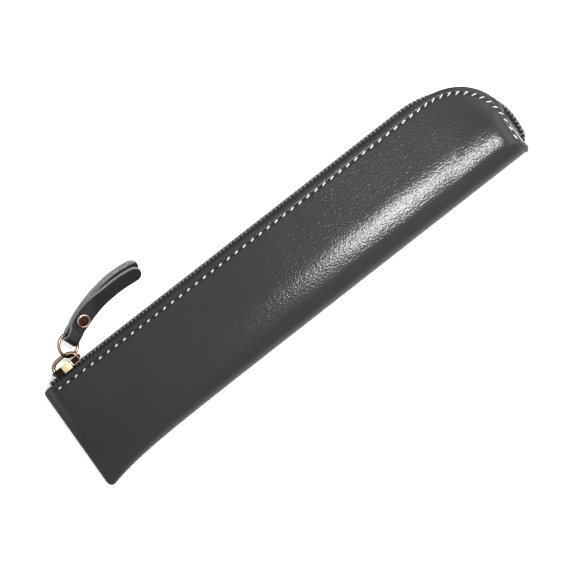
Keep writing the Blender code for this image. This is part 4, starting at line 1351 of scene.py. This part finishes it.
class POUCH_OT_strap(Operator):
    """Folds the strap through the ring"""

    bl_idname = "pouch.strap"
    bl_label = "Strap"

    def execute(self, context):
        settings = context.scene.pouch_pull
        hide = context.scene.pouch_hide
        strap = StrapLine()
        leaf = [0.0, 0.002, 0.006, 0.012, 0.02, 0.03, 0.045, 0.062, 0.08, 0.1]
        leaf += [0.1 + 0.9 * k / 40 for k in range(1, 39)] + [0.975, 0.992]
        shares = [1.0 - value for value in leaf]
        stations = [(STRAP_LENGTH * share, FRONT, None) for share in shares if share > 0.02]
        stations += [(0.0, 0, math.pi * k / 14) for k in range(15)]
        stations += [(STRAP_LENGTH * share, BACK, None) for share in reversed(shares) if share > 0.02]
        across = 12

        def place(column, row):
            distance, side, angle = stations[column]
            centre, width, normal = strap.frame(distance)
            if angle is None:
                centre = centre + normal * side * strap.apart(distance)
                if side == BACK:
                    centre = centre + width * REAR_LEAF_RISE * ease((distance / STRAP_LENGTH - 0.25) / 0.7)
            else:
                along = width.cross(normal).normalized()
                centre = centre + strap.fold_radius * (math.cos(angle) * normal - math.sin(angle) * along)
            spot = 2.0 * row / across - 1.0
            wave = 0.1 * MM * noise.noise(centre * 160.0) * ease(distance / RIVET_DISTANCE - 1.2)
            return centre + width * strap.half_width(distance) * spot + normal * wave

        bm = bmesh.new()
        table = mapped_grid(bm, len(stations) - 1, across, place)
        layer = bm.loops.layers.uv.new("Strap")
        for (column, row), vert in table.items():
            distance = stations[column][0]
            for loop in vert.link_loops:
                loop[layer].uv = (distance, strap.half_width(distance) * (2.0 * row / across - 1.0))
        bm.normal_update()
        _, _, normal = strap.frame(0.5 * STRAP_LENGTH)
        bm.faces.ensure_lookup_table()
        facing = sum(face.normal.dot(normal) for face in bm.faces if face.calc_center_median().y < 0.034)
        if facing < 0.0:
            bmesh.ops.reverse_faces(bm, faces=bm.faces)
        mats = [
            leather_finish("strap_leather", scaled(hide.colour, 0.95), hide.pebble),
            # Painted shade between the leaves, from this distance off the strap's middle
            suede_finish("strap_suede", settings.suede, 0.5 * STRAP_WIDTH - 1.3 * MM),
            cut_edge_finish("strap_cut_edge", scaled(hide.edge_colour, 8.0)),
        ]
        obj = new_piece("leather_strap", bm, mats)
        wall = thicken(obj, STRAP_LEATHER)
        wall.material_offset = 1
        wall.material_offset_rim = 2
        edge = obj.modifiers.new("rounded_edges", "BEVEL")
        edge.width = 0.16 * MM
        edge.segments = 2
        edge.limit_method = "ANGLE"
        edge.angle_limit = math.radians(60)
        shade(obj.data, 45)
        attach(obj, "strap")
        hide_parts("pull_strap")
        return {"FINISHED"}


class POUCH_OT_rivet(Operator):
    """Turns the two halves of the rivet that closes the strap"""

    bl_idname = "pouch.rivet"
    bl_label = "Rivet"

    def execute(self, context):
        settings = context.scene.pouch_pull
        strap = StrapLine()
        place, _, normal = strap.frame(RIVET_DISTANCE)
        face = strap.apart(RIVET_DISTANCE) + 0.5 * STRAP_LEATHER
        head = 0.5 * RIVET_HEAD
        gold = metal_finish("rivet_rim", settings.rim, 0.14, 0.3)
        copper = metal_finish("rivet_face", settings.copper, 0.2, 0.42)
        cap_profile = [
            (0.0, 0.1 * MM),
            (0.9 * head, 0.1 * MM),
            (0.98 * head, 0.2 * MM),
            (head, 0.5 * MM),
            (0.97 * head, 0.85 * MM),
            (0.91 * head, 1.04 * MM),
            (0.86 * head, 1.1 * MM),
            (0.82 * head, 1.04 * MM),
            (0.78 * head, 0.9 * MM),
            (0.4 * head, 0.94 * MM),
            (0.0, 0.96 * MM),
        ]
        cap = turned_piece("rivet_front", cap_profile, place + normal * face, normal, [gold, copper])
        for polygon in cap.data.polygons:
            offset = polygon.center - place - normal * face
            out = (offset - normal * offset.dot(normal)).length
            if out < 0.8 * head and offset.dot(normal) > 0.5 * MM:
                polygon.material_index = 1
        back_profile = [
            (0.0, -1.15 * MM),
            (0.5 * head, -1.12 * MM),
            (0.85 * head, -0.95 * MM),
            (0.97 * head, -0.6 * MM),
            (0.95 * head, -0.2 * MM),
            (0.9 * head, -0.1 * MM),
            (1.2 * MM, -0.1 * MM),
            (1.2 * MM, 2.0 * face),
            (0.0, 2.0 * face),
        ]
        back = turned_piece("rivet_rear", back_profile, place - normal * face, normal, [gold])
        for obj, node in ((cap, "rivet_cap"), (back, "rivet_back")):
            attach(obj, "strap")
            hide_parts(node)
        return {"FINISHED"}


class POUCH_OT_stage(Operator):
    """Sets the pale floor, the two soft lights, the white room and the camera"""

    bl_idname = "pouch.stage"
    bl_label = "Stage"

    def execute(self, context):
        settings = context.scene.pouch_stage
        bm = bmesh.new()
        bmesh.ops.create_grid(bm, x_segments=2, y_segments=2, size=1.6)
        floor = new_piece("floor", bm, [floor_finish("pale_floor", settings.floor_colour)])
        self.add_light("key", (0.061, 0.026, 0.30), (0.055, -0.0093, 0.0), (0.08, 0.022), settings.key_power)
        self.add_light("side", (0.30, -0.02, 0.24), (0.03, 0.0, 0.0), (0.36, 0.36), settings.fill_power)
        world = bpy.data.worlds.new("white_room")
        context.scene.world = world
        context.scene.view_settings.view_transform = "Standard"
        world.use_nodes = True
        sky = world.node_tree.nodes["Background"]
        sky.inputs["Color"].default_value = (1.0, 1.0, 1.0, 1.0)
        sky.inputs["Strength"].default_value = settings.sky
        self.add_camera(context)
        return {"FINISHED"}

    def add_light(self, name, place, target, size, power):
        data = bpy.data.lights.new(name, "AREA")
        data.shape = "RECTANGLE"
        data.size, data.size_y = size
        data.energy = power
        lamp = bpy.data.objects.new(name, data)
        aim = Vector(target) - Vector(place)
        turn = aim.to_track_quat("-Z", "Y").to_matrix().to_4x4()
        lamp.matrix_world = Matrix.Translation(place) @ turn
        bpy.context.scene.collection.objects.link(lamp)

    def add_camera(self, context):
        """Straight above the pouch, turned as in the photograph, far enough to look nearly flat."""
        distance = 1.5
        view_width = 0.2198
        data = bpy.data.cameras.new("camera")
        data.sensor_width = 36.0
        data.lens = 36.0 * distance / view_width
        data.clip_end = 10.0
        camera = bpy.data.objects.new("camera", data)
        right = Vector((0.788011, -0.615661, 0.0))
        up = Vector((0.615661, 0.788011, 0.0))
        back = Vector((0.0, 0.0, 1.0))
        turn = Matrix((right, up, back)).transposed().to_4x4()
        camera.matrix_world = Matrix.Translation((-0.00448, -0.00552, distance)) @ turn
        context.scene.collection.objects.link(camera)
        context.scene.camera = camera


class POUCH_PT_tools(Panel):
    bl_idname = "POUCH_PT_tools"
    bl_label = "Pencil pouch"
    bl_space_type = "VIEW_3D"
    bl_region_type = "UI"
    bl_category = "Pouch"

    def draw(self, context):
        for group in SETTINGS:
            values = getattr(context.scene, group)
            box = self.layout.box()
            for key in values.bl_rna.properties.keys():
                if key not in {"rna_type", "name"}:
                    box.prop(values, key)
        for tool in TOOLS:
            self.layout.operator(tool.bl_idname)


SETTINGS = {
    "pouch_hide": PouchHideSettings,
    "pouch_zip": PouchZipSettings,
    "pouch_stitches": PouchStitchSettings,
    "pouch_pull": PouchPullSettings,
    "pouch_stage": PouchStageSettings,
}
TOOLS = (
    POUCH_OT_stage,
    POUCH_OT_hide,
    POUCH_OT_tapes,
    POUCH_OT_coils,
    POUCH_OT_stitches,
    POUCH_OT_slider,
    POUCH_OT_ring,
    POUCH_OT_strap,
    POUCH_OT_rivet,
)


def register():
    for name, group in SETTINGS.items():
        bpy.utils.register_class(group)
        setattr(bpy.types.Scene, name, PointerProperty(type=group))
    for tool in TOOLS:
        bpy.utils.register_class(tool)
    bpy.utils.register_class(POUCH_PT_tools)


def unregister():
    bpy.utils.unregister_class(POUCH_PT_tools)
    for tool in reversed(TOOLS):
        bpy.utils.unregister_class(tool)
    for name, group in reversed(SETTINGS.items()):
        delattr(bpy.types.Scene, name)
        bpy.utils.unregister_class(group)


def main():
    register()
    bpy.ops.pouch.stage()
    bpy.ops.pouch.hide()
    bpy.ops.pouch.tapes()
    bpy.ops.pouch.coils()
    bpy.ops.pouch.stitches()
    bpy.ops.pouch.slider()
    bpy.ops.pouch.ring()
    bpy.ops.pouch.strap()
    bpy.ops.pouch.rivet()


if __name__ == "__main__":
    main()
